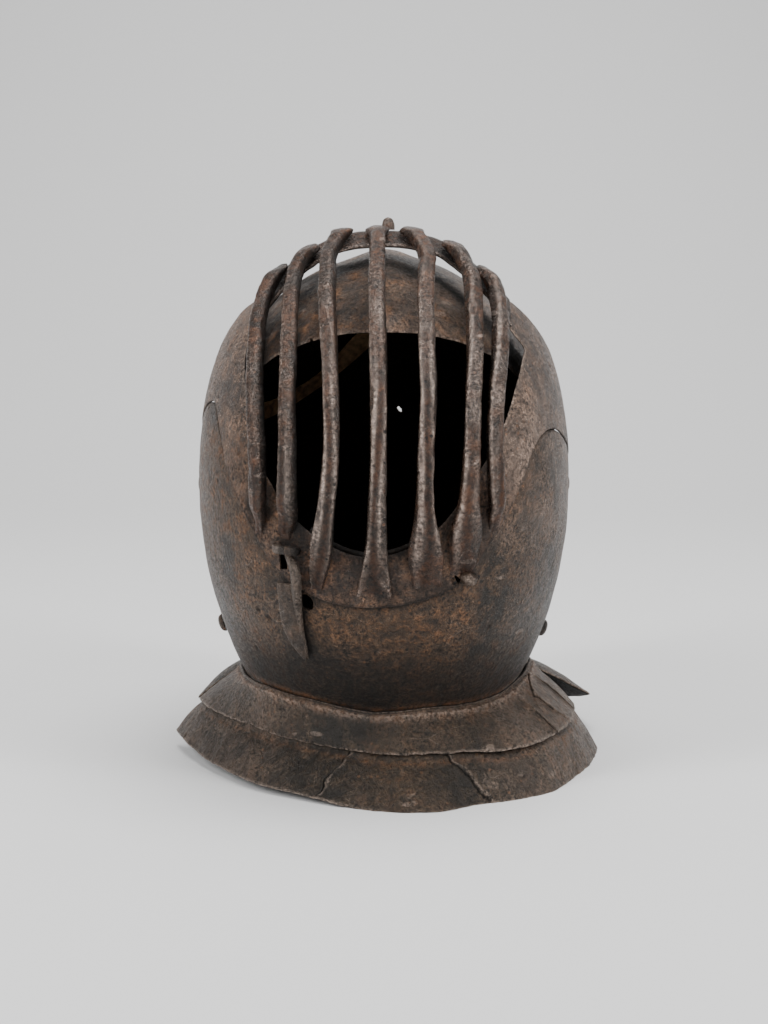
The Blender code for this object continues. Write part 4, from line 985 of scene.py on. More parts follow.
# The temple rivet's head lies on the bevor's ear, and its tail inside the skull
head = FACE_HALF_WIDTH / MM + 0.3
tail = (SKULL_HALF_WIDTH - PLATE) / MM - 0.9
TEMPLE_RIVET = (
    (0.0, head + 1.55),
    (3.0, head + 1.35),
    (5.2, head + 0.5),
    (5.3, head),
    (2.9, head - 0.01),
    (2.9, tail + 0.01),
    (4.8, tail),
    (4.4, tail - 1.0),
    (0.0, tail - 1.1),
)
for name, side in (("pivot_left", -1.0), ("pivot_right", 1.0)):
    rivet = turned_piece(name + "_rivet", TEMPLE_RIVET, (0.0, 0.0, PIVOT_HEIGHT), (side, 0.0, 0.0))
    rivet.data.materials.append(worn_iron)
    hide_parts(name)
    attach(rivet, "skull")

NECK_RIVET = ((0.0, 3.4), (2.6, 3.1), (4.6, 2.1), (5.3, 0.8), (5.2, 0.0), (0.0, 0.0))
RIVET_SEAT = 0.3 * MM
for name, bearing, high in (("neck_rivet_left", -86.0, 78.0), ("neck_rivet_right", 87.0, 74.5)):
    seat = on_bearing(face_shell, bearing, high * MM, RIVET_SEAT)
    rivet = turned_piece(name + "_head", NECK_RIVET, seat, shell_normal(face_shell, seat), 0.04)
    rivet.data.materials.append(worn_iron)
    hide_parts(name)
    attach(rivet, "bevor")

# The front neck plates: two flared sheets, the upper one rolled over at the neck, the lower one
# lapped under it, bent and torn along their rims, with splits that run in from the edge.

# Bearing, radius and height of the upper plate's edge, and of the lower plate's rim
FRONT_LAMES = (
    (-89, 114.0, 30.5, 129.0, 10.5),
    (-80, 111.5, 30.5, 124.8, 9.8),
    (-66, 107.0, 30.0, 121.0, 7.5),
    (-50, 105.0, 29.5, 121.5, 6.0),
    (-36, 108.0, 28.0, 126.5, 5.0),
    (-21, 112.5, 27.0, 132.0, 4.0),
    (-9, 116.5, 26.0, 139.5, 1.5),
    (2, 119.5, 25.0, 147.0, 0.0),
    (12, 121.0, 25.0, 149.0, 0.0),
    (21, 122.5, 25.0, 142.0, 0.0),
    (32, 128.0, 25.0, 142.5, 0.0),
    (42, 127.0, 25.0, 142.5, 0.0),
    (55, 122.0, 25.0, 135.0, 0.0),
    (68, 120.0, 25.5, 132.0, 0.0),
    (78, 118.2, 26.5, 131.7, 0.0),
    (87, 117.5, 27.5, 132.3, 0.5),
)
# Splits: bearing and share of the way down the plate, from their inner end outwards
LOWER_SPLITS = (
    ((-9.8, 0.30), (-11.5, 0.52), (-15.2, 0.78), (-16.2, 1.0)),
    ((17.2, 0.30), (17.8, 0.45), (21.5, 0.72), (24.5, 1.0)),
)
UPPER_SPLITS = (
    ((66.0, 0.18), (69.0, 0.34), (61.0, 0.60), (64.0, 0.78)),
    ((54.0, 0.70), (57.0, 1.0)),
    ((76.0, 0.62), (79.0, 0.85)),
    ((-64.0, 0.12), (-58.0, 0.30), (-60.0, 0.42)),
)
SPLIT_WIDTH = 0.36
SPLIT_LIFT = 0.9
# Millimetres over the plate for a degree of bearing, and from its top to its rim
DEGREE_LENGTH = 2.2
SLOPE_LENGTH = 42.0
SKIRT_BOW = 0.8 * MM
UNDERLAP = 9.0 * MM
UPPER, LOWER = 1, 2


def split_relief(bearing, part, splits):
    """A split's groove and step: the distance from a broken line, in millimetres over the plate, gives
    a groove, and one side of the line is lifted next to it, with a painted highlight along its lip."""
    across = np.broadcast_to(bearing * DEGREE_LENGTH, part.shape)
    down = part * SLOPE_LENGTH
    place = np.stack([across, down, 0.0 * down], -1)
    across = across + 1.7 * lumps(place, 6.0 / MM, 1, 3)
    down = down + 1.7 * lumps(place, 6.0 / MM, 2, 3)
    groove, step, lit = np.zeros((3,) + part.shape)
    for split in splits:
        points = np.array(split) * (DEGREE_LENGTH, SLOPE_LENGTH)
        nearest = np.full(part.shape, 1e3)
        sign = np.zeros(part.shape)
        for start, end in zip(points[:-1], points[1:]):
            run = end - start
            share = ((across - start[0]) * run[0] + (down - start[1]) * run[1]) / (run @ run)
            share = np.clip(share, 0.0, 1.0)
            off_x = across - start[0] - share * run[0]
            off_y = down - start[1] - share * run[1]
            away = np.hypot(off_x, off_y)
            closer = away < nearest
            nearest = np.where(closer, away, nearest)
            sign = np.where(closer, np.sign(off_x * run[1] - off_y * run[0]), sign)
        groove = np.maximum(groove, bell(nearest, SPLIT_WIDTH))
        step = step + SPLIT_LIFT * (sign > 0) * np.exp(-nearest / 7.0)
        lit = np.maximum(lit, bell(nearest - 1.1, 0.5) * (sign > 0))
    return groove, step, lit


def split_columns(start, end, columns, splits):
    """Bearings from start to end, with close ones across every split."""
    close = [np.arange(min(p[0] for p in s) - 1.0, max(p[0] for p in s) + 1.0, 0.16) for s in splits]
    return np.unique(np.round(np.concatenate([np.linspace(start, end, columns)] + close), 3))


table = curve_through(FRONT_LAMES, 24)
for name, node_name, kind, splits in (
    ("upper_neck_plate", "gorget_upper_lame", UPPER, UPPER_SPLITS),
    ("lower_neck_plate", "gorget_lower_lame", LOWER, LOWER_SPLITS),
):
    bearing = split_columns(FRONT_LAMES[0][0], FRONT_LAMES[-1][0], 340, splits)
    lames = np.stack([np.interp(bearing, table[:, 0], column) for column in table.T[1:]], -1)
    edge = lames[:, :2] * MM
    rim = np.maximum(lames[:, 2:], 0.0) * MM
    top, bend = neck_section(face_shell, bearing, read(NECK_LINE, bearing) * MM, 0.5 * MM)
    slope = unit(edge - bend)
    track = np.stack([bearing * DEGREE_LENGTH * MM, 0.0 * bearing, 0.0 * bearing], -1)
    frayed = (np.abs(lumps(track, 8.0, kind, 3)) + 0.1) * MM
    if kind == UPPER:
        rim = edge - slope * frayed[:, None]
    else:
        # the lower plate starts under the upper one's edge
        rim[:, 0] -= frayed
        under = edge + np.stack([slope[:, 1], -slope[:, 0]], -1) * (LAME + 0.7 * MM)
        top, bend = under - slope * UNDERLAP, under + slope * 1.0 * MM
    skirt = flare(bearing, top, bend, rim, np.full_like(bearing, SKIRT_BOW))
    normal = grid_normal(skirt)
    part = np.linspace(0.0, 1.0, skirt.shape[0])[:, None] + 0.0 * bearing
    groove, step, lit = split_relief(bearing, part, splits)
    marks = 0.5 * lumps(skirt, 24.0, kind) + 0.24 * lumps(skirt, 8.0, kind + 1, 3)
    hollow = pits(skirt, 8.0, 1.5, 0.22, kind)

    # the upper plate is rolled over along a line, and the lower one rusts along the upper's edge
    rolled = bell(part - 0.34, 0.13) * (kind == UPPER)
    seam_rust = bell(part - 0.43, 0.045) * (kind == LOWER)
    skirt = raised(skirt, normal, marks - 0.72 - 0.4 * hollow + step - groove + 1.4 * rolled)
    worn_and_lit = np.maximum(0.9 * edge_wear(skirt, 1.1), 0.75 * rolled * (0.8 + 0.3 * marks))
    # bare tone along the lifted lip of each split, as a painted highlight
    worn_and_lit = np.maximum(worn_and_lit, 0.6 * lit)
    # dark rust in the pits, and painted shade in the splits
    soot_and_shade = np.maximum(0.6 * hollow, groove)
    rust = np.clip(1.1 * rolled + 0.55 * seam_rust, 0.0, 1.2)
    dusty = 0.34 * smooth_step(np.abs(bearing), 20.0, 45.0) * np.clip(0.7 + 0.7 * marks, 0.0, 1.3)
    piece = close_plate(name, skirt, normal, LAME - 0.3 * MM, worn_and_lit, soot_and_shade, rust, dusty, floor=True)
    piece.data.materials.append(lame_iron)
    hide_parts(node_name)
    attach(piece, "bevor")

# The visor: the plate round the face opening, over the bevor at the chin and flush with its ears
# at the sides, with a slot cut beside the hook and an arm under each ear to the temple rivet.
VISOR_SIDE_STANDOFF = 0.5 * MM
VISOR_CHIN_STANDOFF = 2.4 * MM
# Side distance and height of the broken staple's hole and of the slot, and the slot's corners
STUMP_SEAT = (38.6 * MM, 124.8 * MM)
STUMP_HOLE_RADIUS = 3.0 * MM
SLOT_PLACE = (-54.6 * MM, 135.5 * MM)
SLOT_CORNERS = ((-2.3, -5.4), (2.3, -5.2), (2.5, 5.4), (-2.0, 5.2))
visor_iron = iron(
    "visor_iron",
    ((0.026, 0.020, 0.017), (0.110, 0.066, 0.042), (0.180, 0.086, 0.044), BARE_AND_LIT_IRON),
    rusty=0.55, gloss=0.31, metal=0.4, speckle=1.6, grain=1.4,
)
part = np.linspace(0.0, 1.0, 44)[:, None]
inner_bearing, inner_height, outer_bearing, outer_height, bow = sections.T
bearing = inner_bearing + (outer_bearing - inner_bearing) * part
height = inner_height + (outer_height - inner_height) * part + bow * 4.0 * part * (1.0 - part)
aside = smooth_step(np.abs(bearing), 31.0, 47.0)
standoff = VISOR_CHIN_STANDOFF + (VISOR_SIDE_STANDOFF - VISOR_CHIN_STANDOFF) * aside
sheet = on_bearing(face_shell, bearing, height * MM, standoff)
normal = shell_normal(face_shell, sheet)
marks = 0.35 * lumps(sheet, 30.0, 0) + 0.20 * lumps(sheet, 9.0, 2, 3)
hollow = pits(sheet, 7.0, 1.5, 0.2, 3)
sheet = raised(sheet, normal, marks - 0.45 - 0.4 * hollow)

# dust at the sides, most at the right, rust low and by the slot, dark stains and painted shade low
# down
aside = np.abs(bearing)
worn_and_lit = (0.35 + 0.4 * smooth_step(aside, 20.0, 30.0)) * edge_wear(sheet, 0.8)
dusty = bell(bearing - 35.0, 12.0) * bell(height - 188.0, 32.0)
dusty = dusty + 0.25 * smooth_step(aside, 30.0, 42.0) * (0.8 + 0.5 * lumps(sheet, 20.0, 3, 2))
low = smooth_step(height, 205.0, 160.0)
by_slot = bell(sheet[..., 0] / MM + 34.0, 10.0) * bell(sheet[..., 2] / MM - 134.0, 15.0)
warm = 0.30 * low * (0.6 + 0.4 * lumps(sheet, 14.0, 1, 2)) + 0.9 * by_slot
# painted shade along the outer edge, where the visor meets the bevor
rim = bell((1.0 - part) * np.linalg.norm(sheet[-1] - sheet[0], axis=-1), 1.2 * MM)
# darker low down: partly dark stains, partly painted shade from the bars above
stain_and_shade = 0.75 * low * (0.8 + 0.9 * lumps(sheet, 11.0, 2, 2)) * np.clip(1.0 - warm - dusty, 0.0, 1.0)
soot_and_shade = np.clip(0.6 * hollow + stain_and_shade + 0.5 * rim, 0.0, 0.9)
rust, dusty = np.clip(warm, 0.0, 1.0), np.clip(dusty, 0.0, 1.0)
visor = close_plate("visor_plate", sheet, normal, PLATE - 0.4 * MM, worn_and_lit, soot_and_shade, rust, dusty)

stump_seat = on_front(face_shell, *STUMP_SEAT, VISOR_CHIN_STANDOFF)
slot = on_front(face_shell, *SLOT_PLACE, VISOR_CHIN_STANDOFF)
facing = shell_normal(face_shell, slot)
across = unit(np.cross([0.0, 0.0, 1.0], facing))
upward = np.cross(facing, across)
corners = np.array(SLOT_CORNERS) * MM
ring = slot + corners[:, :1] * across + corners[:, 1:] * upward
pierce(visor, [
    drill(stump_seat, shell_normal(face_shell, stump_seat), STUMP_HOLE_RADIUS),
    prism(ring - facing * DRILL_REACH, ring + facing * DRILL_REACH),
])
visor.data.materials.append(visor_iron)
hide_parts("visor")
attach(visor, "visor")

# each arm runs from under the visor's rear edge down inside the bevor's ear, past the rivet
ARM_END_HEIGHT = 150.0 * MM
ARM_THICKNESS = 1.6 * MM
# Bearing of an arm's front edge and its width in degrees, at its top and at its end
ARM_TOP = (67.0, 23.0)
ARM_END = (82.5, 12.5)
down = np.linspace(0.0, 1.0, 40)[:, None]
over = np.linspace(0.0, 1.0, 14)
for name, side in (("arm_left", -1.0), ("arm_right", 1.0)):
    start = side * (ARM_TOP[0] + ARM_TOP[1] * over)
    end = side * (ARM_END[0] + ARM_END[1] * over)
    bearing = start + (end - start) * down
    above = np.interp(start, seam_bearing, seam_height) + 9.0 * MM
    height = above + (ARM_END_HEIGHT - above) * down
    clear = height - np.interp(bearing, seam_bearing, seam_height)
    standoff = (-2.6 + 1.9 * smooth_step(clear, 1.0 * MM, 6.0 * MM)) * MM
    arm = on_bearing(face_shell, bearing, height, standoff)
    piece = close_plate(name, arm, shell_normal(face_shell, arm), ARM_THICKNESS, 0.2, 0.2)
    pierce(piece, [rivet_drill(side * (FACE_HALF_WIDTH - 3.0 * MM))])
    piece.data.materials.append(visor_iron)
    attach(piece, "visor")

# The crown band: an arched strip over the brow, forge-welded to the visor's sides, creased along
# its middle, which the bars are hammered down onto.

# Side distance, turn and standoff of the lower edge, of the crease, and standoff of the rear edge
BAND_LINE = (
    (-72, 51.5, 3.7, 60.0, 3.7, 3.7),
    (-66, 54.8, 3.8, 63.3, 4.6, 3.7),
    (-60, 57.8, 4.0, 66.3, 5.6, 3.9),
    (-50, 61.9, 4.0, 69.4, 7.0, 4.6),
    (-40, 65.4, 4.5, 71.8, 8.0, 5.8),
    (-30, 68.2, 5.2, 74.8, 8.8, 6.6),
    (-15, 69.8, 5.6, 76.4, 9.3, 7.3),
    (0, 70.0, 5.8, 76.3, 9.5, 7.5),
    (15, 69.8, 5.6, 76.4, 9.3, 7.3),
    (30, 68.2, 5.2, 74.6, 8.8, 6.6),
    (40, 64.6, 4.5, 71.4, 8.0, 5.8),
    (50, 60.5, 4.0, 67.8, 6.6, 4.4),
    (60, 56.0, 4.0, 64.0, 5.0, 3.8),
    (66, 53.2, 3.8, 61.3, 4.2, 3.7),
    (72, 50.5, 3.7, 58.6, 3.7, 3.7),
)
# How many degrees of turn the band goes on behind its crease
BAND_BACK = 3.2
BAND_THICKNESS = 2.3 * MM
bar_iron = iron(
    "bar_iron",
    ((0.009, 0.006, 0.004), (0.030, 0.016, 0.010), (0.115, 0.047, 0.021), (0.32, 0.25, 0.21)),
    rusty=0.55, gloss=0.20, metal=0.45, speckle=0.9, grain=0.75, drawn=0.3,
)
side, low_turn, low, high_turn, high, back = curve_through(BAND_LINE, 12).T
turns = np.stack([low_turn, (low_turn + high_turn) / 2.0, high_turn - 0.3, high_turn + BAND_BACK])
rises = np.stack([low, (low + high) / 2.0, high, back])
turns, rises = np.moveaxis(curve_through(np.stack([turns, rises], -1), 8), -1, 0)
band = on_turn(face_shell, side * MM, turns, rises * MM)
normal = shell_normal(face_shell, band)
band = raised(band, normal, 0.35 * lumps(band, 16.0, 1) + 0.25 * lumps(band, 5.0, 2, 2) - 0.6)
strip = close_plate("crown_band_strip", band, normal, BAND_THICKNESS, 0.45 * edge_wear(band, 1.5))
strip.data.materials.append(bar_iron)
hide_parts("crown_band")
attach(strip, "visor")


def loft(name, rings, wear_and_highlight, soot_and_shade=0.0, rust=0.0):
    """A solid through rings of points: quads from ring to ring, and each end drawn to its middle."""
    first = rings[:1].mean(axis=1, keepdims=True) + 0.0 * rings[:1]
    last = rings[-1:].mean(axis=1, keepdims=True) + 0.0 * rings[-1:]
    points = np.concatenate([first, rings, last])
    piece = new_mesh(name, points, ring_quads(*points.shape[:2]))
    paints = {}
    for layer, values in (("wear_and_highlight", wear_and_highlight), ("soot_and_shade", soot_and_shade), ("rust", rust)):
        values = np.broadcast_to(values, rings.shape[:2])
        paints[layer] = np.concatenate([values[:1], values, values[-1:]])
    return finish_mesh(piece, paints, FORGED_ANGLE, outward=True)


# The crest lug: a small flattened peg of iron with a rounded tip, forged on to the middle of the
# band's crease.

# Share of the way up the lug, and its radius
LUG_RADII = ((0.0, 4.0), (0.4, 3.9), (0.8, 3.1), (0.93, 2.2), (1.0, 1.0))
crease = BAND_LINE[len(BAND_LINE) // 2][4]
base = on_turn(face_shell, 2.6 * MM, 78.4, (crease - 1.0) * MM)
tip = on_turn(face_shell, 2.2 * MM, 78.8, (crease + 6.1) * MM)
share = np.linspace(0.0, 1.0, 30)
radius = read(LUG_RADII, share) * MM
angle = once_round(28)
ring = np.stack([np.cos(angle), 0.7 * np.sin(angle), 0.0 * angle], -1)
rings = base + (tip - base) * share[:, None, None] + ring * radius[:, None, None]
outward = unit(rings - rings.mean(axis=1, keepdims=True))
rings = raised(rings, outward, -0.4 * (1.0 + lumps(rings, 4.0, 1)))
lug = loft("crest_lug_forged", rings, 0.35)
lug.data.materials.append(bar_iron)
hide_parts("crest_lug")
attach(lug, "visor")

# The bars: seven forged rods, hammered to uneven flats, bowed out in front of the face opening.
# Each has its foot beaten out and welded to the visor's plate and its top lapped over the band.
BAR_TURNS = (0, 13, 24, 35, 48, 57, 63)
# Turn and side distance of the foot, side distances at BAR_TURNS, turn and side distance of the top
BARS = (
    (-7.0, -69.5, (-67.5, -67.5, -69.0, -69.5, -69.0, -65.8, -60.5), 66.5, -57.0),
    (-6.0, -55.0, (-51.8, -51.0, -51.4, -51.0, -51.0, -50.0, -47.2), 70.5, -41.0),
    (-17.5, -37.3, (-30.8, -27.7, -28.0, -29.2, -31.0, -31.0, -30.7), 76.0, -23.0),
    (-18.0, -5.3, (-3.6, -2.9, -2.9, -3.2, -3.8, -3.9, -3.8), 76.2, -3.5),
    (-16.0, 23.5, (21.4, 22.1, 23.5, 22.8, 22.7, 23.6, 23.4), 76.0, 14.5),
    (-14.0, 42.6, (44.5, 46.3, 47.4, 48.7, 49.0, 48.4, 44.8), 71.5, 37.0),
    (-5.5, 60.1, (60.4, 58.7, 59.6, 62.3, 63.6, 61.6, 57.0), 65.2, 55.3),
)
BAR_WIDTH = 9.6
BAR_THICKNESS = 9.0
BAR_STANDOFF = 10.0 * MM
BAR_FLATS = 26
FOOT_THICKNESS = 3.4
# Bars, counted from 0 at the left, whose groove runs far up, and whose top isn't beaten wide
LONG_GROOVES = (2, 3, 4)
NARROW_TOPS = (0, 6)
# For each bar: widths at the foot's end and 5, 10 and 18 degrees up, how long the foot is in
# degrees, how high its middle and its two rims are, and how deep the groove above it is
FOOT_STEPS = (0.0, 5.0, 10.0, 18.0, 30.0)
FEET = (
    ((5.0, 7.5, 9.0, 9.6), 9.0, 2.6, 0.0, 0.2),
    ((8.0, 11.5, 11.0, 9.8), 9.0, 2.6, 0.0, 0.3),
    ((7.0, 10.5, 12.5, 10.5), 14.0, 2.2, 0.6, 0.9),
    ((20.0, 16.5, 13.0, 10.2), 14.0, 0.4, 1.9, 1.0),
    ((15.0, 18.0, 16.5, 10.2), 14.0, 1.3, 0.5, 0.9),
    ((13.0, 16.0, 18.0, 11.0), 15.0, 1.9, 0.2, 0.5),
    ((6.0, 9.0, 10.0, 9.6), 8.0, 2.4, 0.0, 0.3),
)
# A ridge beaten across the fourth foot: side distance and height of its two ends
RIDGED_FOOT = 3
FOOT_RIDGE = ((-6.0, 131.1), (2.6, 120.5))


def over_band(side, turn):
    """How far the band's outside stands off the shell, and 1 over the band, 0 well below it."""
    rows = np.array(BAND_LINE).T
    low_turn, low, high_turn, high = (np.interp(side / MM, rows[0], row) for row in rows[1:5])
    part = np.clip((turn - low_turn) / (high_turn - low_turn), 0.0, 1.0)
    return (low + (high - low) * part) * MM, smooth_step(turn, low_turn - 9.0, low_turn - 1.0)


angle = once_round(48) + 0.5 * math.pi
across = np.clip(np.cos(angle), -1.0, 1.0)
in_front = np.sin(angle) > 0.0
for number in range(len(BARS)):
    foot_turn, foot_side, sides, top_turn, top_side = BARS[number]
    widths, length, middle_height, rim_height, groove_depth = FEET[number]
    turns, sides = (foot_turn,) + BAR_TURNS + (top_turn,), (foot_side,) + sides + (top_side,)
    turn, side = curve_through(np.stack([turns, np.array(sides) * MM], 1), 26).T
    grown = smooth_step(turn, foot_turn + 1.0, foot_turn + length)

    # width and thickness: the foot's, then the bar's, then spread and thinned over the band
    steps = np.stack([foot_turn + np.array(FOOT_STEPS), widths + (BAR_WIDTH,)], 1)
    step_turn, step_width = curve_through(steps, 8).T
    spread = 1.5 if number in NARROW_TOPS else 4.5
    beaten = spread * smooth_step(turn, top_turn - 6.0, top_turn - 1.5)
    width = (np.interp(turn, step_turn, step_width) + beaten) * MM
    thinned = 5.0 * smooth_step(turn, top_turn - 7.0, top_turn)
    thick = (FOOT_THICKNESS * (1.0 - grown) + BAR_THICKNESS * grown - thinned) * MM

    # the bar's line: flat on the visor's plate, bowed out over the opening, then over the band
    rest = VISOR_CHIN_STANDOFF + 0.3 * MM + thick / 2.0
    away = smooth_step(turn, foot_turn + 3.0, 12.0)
    standoff = np.maximum(rest * (1.0 - away) + BAR_STANDOFF * away, rest)
    band, over = over_band(side, turn)
    standoff = standoff + (band + 0.3 * MM + 0.53 * thick - standoff) * over
    line = on_turn(face_shell, side, turn, standoff)
    forward = unit(np.gradient(line, axis=0))
    normal = shell_normal(face_shell, line)
    normal = unit(normal - forward * np.sum(normal * forward, axis=1, keepdims=True))
    sideways = np.cross(normal, forward)
    along = np.concatenate([[0.0], np.cumsum(np.linalg.norm(np.diff(line, axis=0), axis=1))]) / MM
    wave = 1.0 + 0.03 * lumps(np.stack([along, 0.0 * along, 0.0 * along], 1) * MM, 17.0, number, 2)
    down_bar = (turn, grown, width, thick, along, wave, line, normal, sideways)
    turn, grown, width, thick, along, wave, line, normal, sideways = (row[:, None] for row in down_bar)

    # a squarish section, cut by flats at random places and depths down the bar
    twist = 0.30 * np.sin(along / 31.0 + number) + 0.06 * np.sin(along / 9.0 + 2.0 * number)
    cubes = np.abs(np.cos(angle + twist)) ** 3.0 + np.abs(np.sin(angle + twist)) ** 3.0
    square = cubes ** (-1.0 / 3.0)
    for share, reach, way, cut in RANDOM[number, :BAR_FLATS, 3]:
        near = bell(along - share * along.max(), 6.0 + 12.0 * reach)
        facing = np.maximum(np.cos(angle - 2.0 * math.pi * way), 0.3)
        square = np.minimum(square, (1.55 - (0.53 + 0.09 * cut) * near) / facing)

    # a groove that wanders up the front from the foot, with a lip on either side
    groove_end = foot_turn + (36.0 if number in LONG_GROOVES else 10.0)
    open_foot = smooth_step(turn, groove_end + 23.0, groove_end)
    wander = 0.5 * math.pi + 0.35 * np.sin(along / 23.0 + 3.0 * number)
    apart = np.abs((angle - wander + math.pi) % (2.0 * math.pi) - math.pi)
    groove = bell(apart, 0.30) * open_foot
    lips = bell(apart - 0.62, 0.20) * open_foot * groove_depth
    out_x = np.cos(angle) * square * wave * width / 2.0
    round_y = np.sin(angle) * square * thick / 2.0 - groove * groove_depth * MM

    # the foot: a low hill with a rim down each side, its edges melted into the plate
    rims = bell(np.abs(across) - 0.80, 0.11)
    melted = smooth_step(turn, foot_turn - 0.4, foot_turn + 7.0) ** 0.7
    hill = (0.4 + middle_height * np.sqrt(1.0 - across**2)) * melted + 0.4 + rim_height * rims
    hill = hill * (1.0 - across**10) * smooth_step(turn, foot_turn - 0.4, foot_turn + 2.2) - 0.4
    foot_y = np.where(in_front, hill * MM, -1.0 * MM) - thick / 2.0 - 0.3 * MM
    blended = grown**0.9
    out_y = round_y * blended + foot_y * (1.0 - blended)
    ends = 0.5 + 0.5 * np.sqrt(smooth_step(turn, top_turn + 0.2, top_turn - 2.0))
    rings = line + sideways * (out_x * ends)[..., None] + normal * (out_y * ends)[..., None]
    outward = unit(sideways * (out_x / width**2)[..., None] + normal * (round_y / thick**2)[..., None])
    crust = 0.22 * lumps(rings, 9.0, number, 2) + 0.13 * lumps(rings, 2.4, number + 1, 2)
    holes = pits(rings, 5.0, 1.2, 0.22, number)
    rings = raised(rings, outward, crust - 0.35 - 0.4 * holes)
    if number == RIDGED_FOOT:
        start, end = np.array(FOOT_RIDGE) * MM
        run = end - start
        place = rings[..., ::2] - start
        share = np.clip((place @ run) / (run @ run), 0.0, 1.0)
        beside = np.linalg.norm(place - share[..., None] * run, axis=-1)
        ridge = bell(beside, 1.2 * MM) * in_front
        rings = raised(rings, normal, 1.3 * ridge)
        rims = np.maximum(rims, ridge)

    # bare metal on the front, the corners and the lips, and painted shade on the back and right side
    beside = (np.roll(square, 3, axis=1) + np.roll(square, -3, axis=1)) / 2.0
    corner = np.clip((square - beside) * 16.0, 0.0, 1.0) * np.clip(0.4 + np.sin(angle), 0.0, 1.0)
    standing = rims * (1.0 - blended) * min(rim_height, 1.0)
    patchy = np.clip(lumps(rings, 15.0, number + 1, 2) + 0.4, 0.0, 1.0)
    wear_and_highlight = 0.04 + 0.25 * patchy * np.clip(np.sin(angle), 0.0, 1.0) + 0.4 * standing
    # the corners' bare tone is stronger on the left, as a painted highlight, and weaker on the three
    # left bars
    wear_and_highlight = wear_and_highlight + 0.55 * corner * np.clip(0.55 + 0.6 * np.cos(angle), 0.05, 1.0)
    wear_and_highlight = wear_and_highlight * min(0.6 + 0.15 * number, 1.0) + 0.55 * lips * grown
    wear_and_highlight = wear_and_highlight * (1.0 - 0.5 * smooth_step(turn, 40.0, 56.0)) * (0.35 + 0.65 * blended)
    wear_and_highlight = np.clip(wear_and_highlight + 0.4 * standing * (rim_height > 1.5), 0.0, 1.0) * (1.0 - groove)
    # painted shade on the back and right side of the bar
    shaded_side = np.clip(-0.8 * np.sin(angle) - 0.9 * np.cos(angle) - 0.1, 0.0, 1.0) * blended
    # black in the pits, and painted shade in the groove as well
    soot_and_shade = 0.5 * holes + 0.45 * groove + 0.80 * shaded_side + 0.30 * (1.0 - blended) - 0.30 * standing
    rust = 0.6 * groove + 0.35 * (1.0 - blended) + 0.45 * (1.0 - patchy) * (1.0 - open_foot)
    name = "bar_%d" % (number + 1)
    bar = loft(name + "_forged", rings, wear_and_highlight, np.clip(soot_and_shade, 0.0, 0.9), np.clip(rust, 0.0, 1.0))
    bar.data.materials.append(bar_iron)
    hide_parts(name)
    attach(bar, "visor")

# The staple: a thick bent rod standing off the visor, which the hook's tip goes under, and the
# stump of a second one, broken off, on the other side.

# Side distance, height, standoff and radius along the rod
STAPLE_LINE = (
    (-57.2, 142.6, 1.5, 2.7),
    (-57.2, 142.6, 5.5, 2.7),
    (-55.2, 142.6, 8.6, 2.7),
    (-51.6, 142.6, 9.4, 2.6),
    (-48.4, 142.0, 8.4, 2.5),
    (-46.8, 141.2, 5.2, 2.3),
    (-46.6, 140.8, 1.5, 2.2),
)


def rod_rings(table, steps, sides=24, square=2.0):
    """Rings along a line of side distance, height, standoff and radius on the face shell: each
    lies square to the line, turned as little as may be from the one before. Their power is 2 where
    they are round and more where they are squarish."""
    rows = curve_through(table, steps)
    line = on_front(face_shell, rows[:, 0] * MM, rows[:, 1] * MM, rows[:, 2] * MM)
    forward = unit(np.gradient(line, axis=0))
    first = np.empty_like(line)
    held = np.array([0.0, -1.0, 0.0])
    for place, ahead in enumerate(forward):
        held = unit(held - ahead * (held @ ahead))
        first[place] = held
    second = np.cross(forward, first)
    angle = once_round(sides)
    reach = (np.abs(np.cos(angle)) ** square + np.abs(np.sin(angle)) ** square) ** (-1.0 / square)
    ring = np.cos(angle)[:, None] * first[:, None] + np.sin(angle)[:, None] * second[:, None]
    ring = ring * reach[:, None]
    rings = line[:, None] + ring * (rows[:, 3] * MM)[:, None, None]
    return raised(rings, ring, -0.22 * (1.0 + lumps(rings, 5.0, 2, 2)))


rings = rod_rings(STAPLE_LINE, 10, 32, 4.2)
share = np.linspace(0.0, 1.0, len(rings))[:, None]
# a painted highlight on the rod's left end and painted shade on its right end
worn_and_lit, soot_and_shade = 0.75 * smooth_step(share, 0.45, 0.25), 0.6 * smooth_step(share, 0.45, 0.7)
staple = loft("staple_rod", rings, worn_and_lit, soot_and_shade)
staple.data.materials.append(worn_iron)
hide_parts("staple")
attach(staple, "visor")

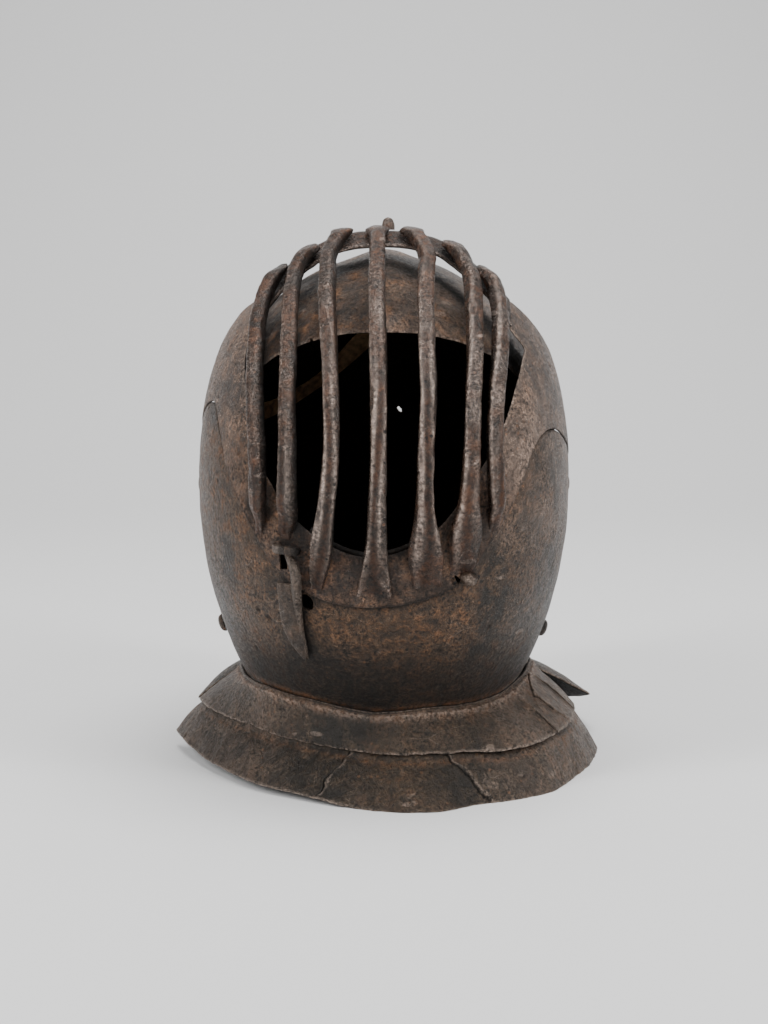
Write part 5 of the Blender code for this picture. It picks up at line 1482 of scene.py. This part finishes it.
STUMP_BEARING = 18.3
STUMP_HEIGHT = 126.3 * MM
STUMP_PROFILE = ((0.0, 4.6), (2.2, 4.3), (3.6, 3.2), (4.0, 1.6), (3.8, -0.6), (0.0, -0.6))
seat = on_bearing(face_shell, STUMP_BEARING, STUMP_HEIGHT, VISOR_CHIN_STANDOFF + RIVET_SEAT)
stump = turned_piece("staple_stump_head", STUMP_PROFILE, seat, shell_normal(face_shell, seat), 0.16)
stump.data.materials.append(worn_iron)
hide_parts("staple_stump")
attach(stump, "visor")

# The hook: a tapering strap that turns on a rivet at its lower tip, with a round rod along its
# right edge that rises past its top and bends in under the staple.

# Height, side distance of the strap's left and right edges
STRAP_EDGES = (
    (78.5, -44.0, -41.8),
    (83.0, -48.0, -42.4),
    (89.0, -52.3, -43.2),
    (96.0, -55.6, -44.4),
    (104.0, -57.3, -45.0),
    (113.0, -57.8, -45.6),
    (122.5, -58.6, -47.4),
)
# Side distance, height, standoff and radius along the rod
HOOK_LINE = (
    (-42.9, 80.0, 0.9, 0.9),
    (-43.9, 89.0, 1.2, 1.6),
    (-45.2, 98.0, 1.5, 2.0),
    (-46.2, 108.0, 2.0, 2.4),
    (-46.6, 114.0, 3.6, 2.9),
    (-46.9, 120.0, 5.6, 3.1),
    (-46.9, 126.0, 6.3, 3.2),
    (-47.6, 131.0, 6.3, 3.1),
    (-49.2, 135.5, 5.9, 2.8),
    (-50.8, 138.6, 5.4, 2.3),
    (-52.0, 140.6, 4.8, 1.7),
)
STRAP_THICKNESS = 2.8 * MM
height, left_edge, right_edge = curve_through(STRAP_EDGES, 12).T
spread = np.linspace(0.0, 1.0, 22)[:, None]
side = left_edge + (right_edge - left_edge) * spread
standoff = 3.2 + 0.9 * np.sin(math.pi * np.clip(spread * 1.1, 0.0, 1.0)) ** 0.7
strap = on_front(face_shell, side * MM, height * MM, standoff * MM)
normal = shell_normal(face_shell, strap)
holes = pits(strap, 4.5, 1.4, 0.3, 4)
strap = raised(strap, normal, 0.30 * lumps(strap, 8.0, 1, 3) - 0.40 - 0.4 * holes)
worn_and_lit = 0.10 + 0.45 * edge_wear(strap, 1.2)
leaf = close_plate("hook_strap_leaf", strap, normal, STRAP_THICKNESS, worn_and_lit, 0.6 * holes)
leaf.data.materials.append(worn_iron)
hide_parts("hook_strap")
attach(leaf, "hook")
rod = loft("hook_rod", rod_rings(HOOK_LINE, 8), 0.40)
rod.data.materials.append(worn_iron)
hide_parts("hook_strap")
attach(rod, "hook")
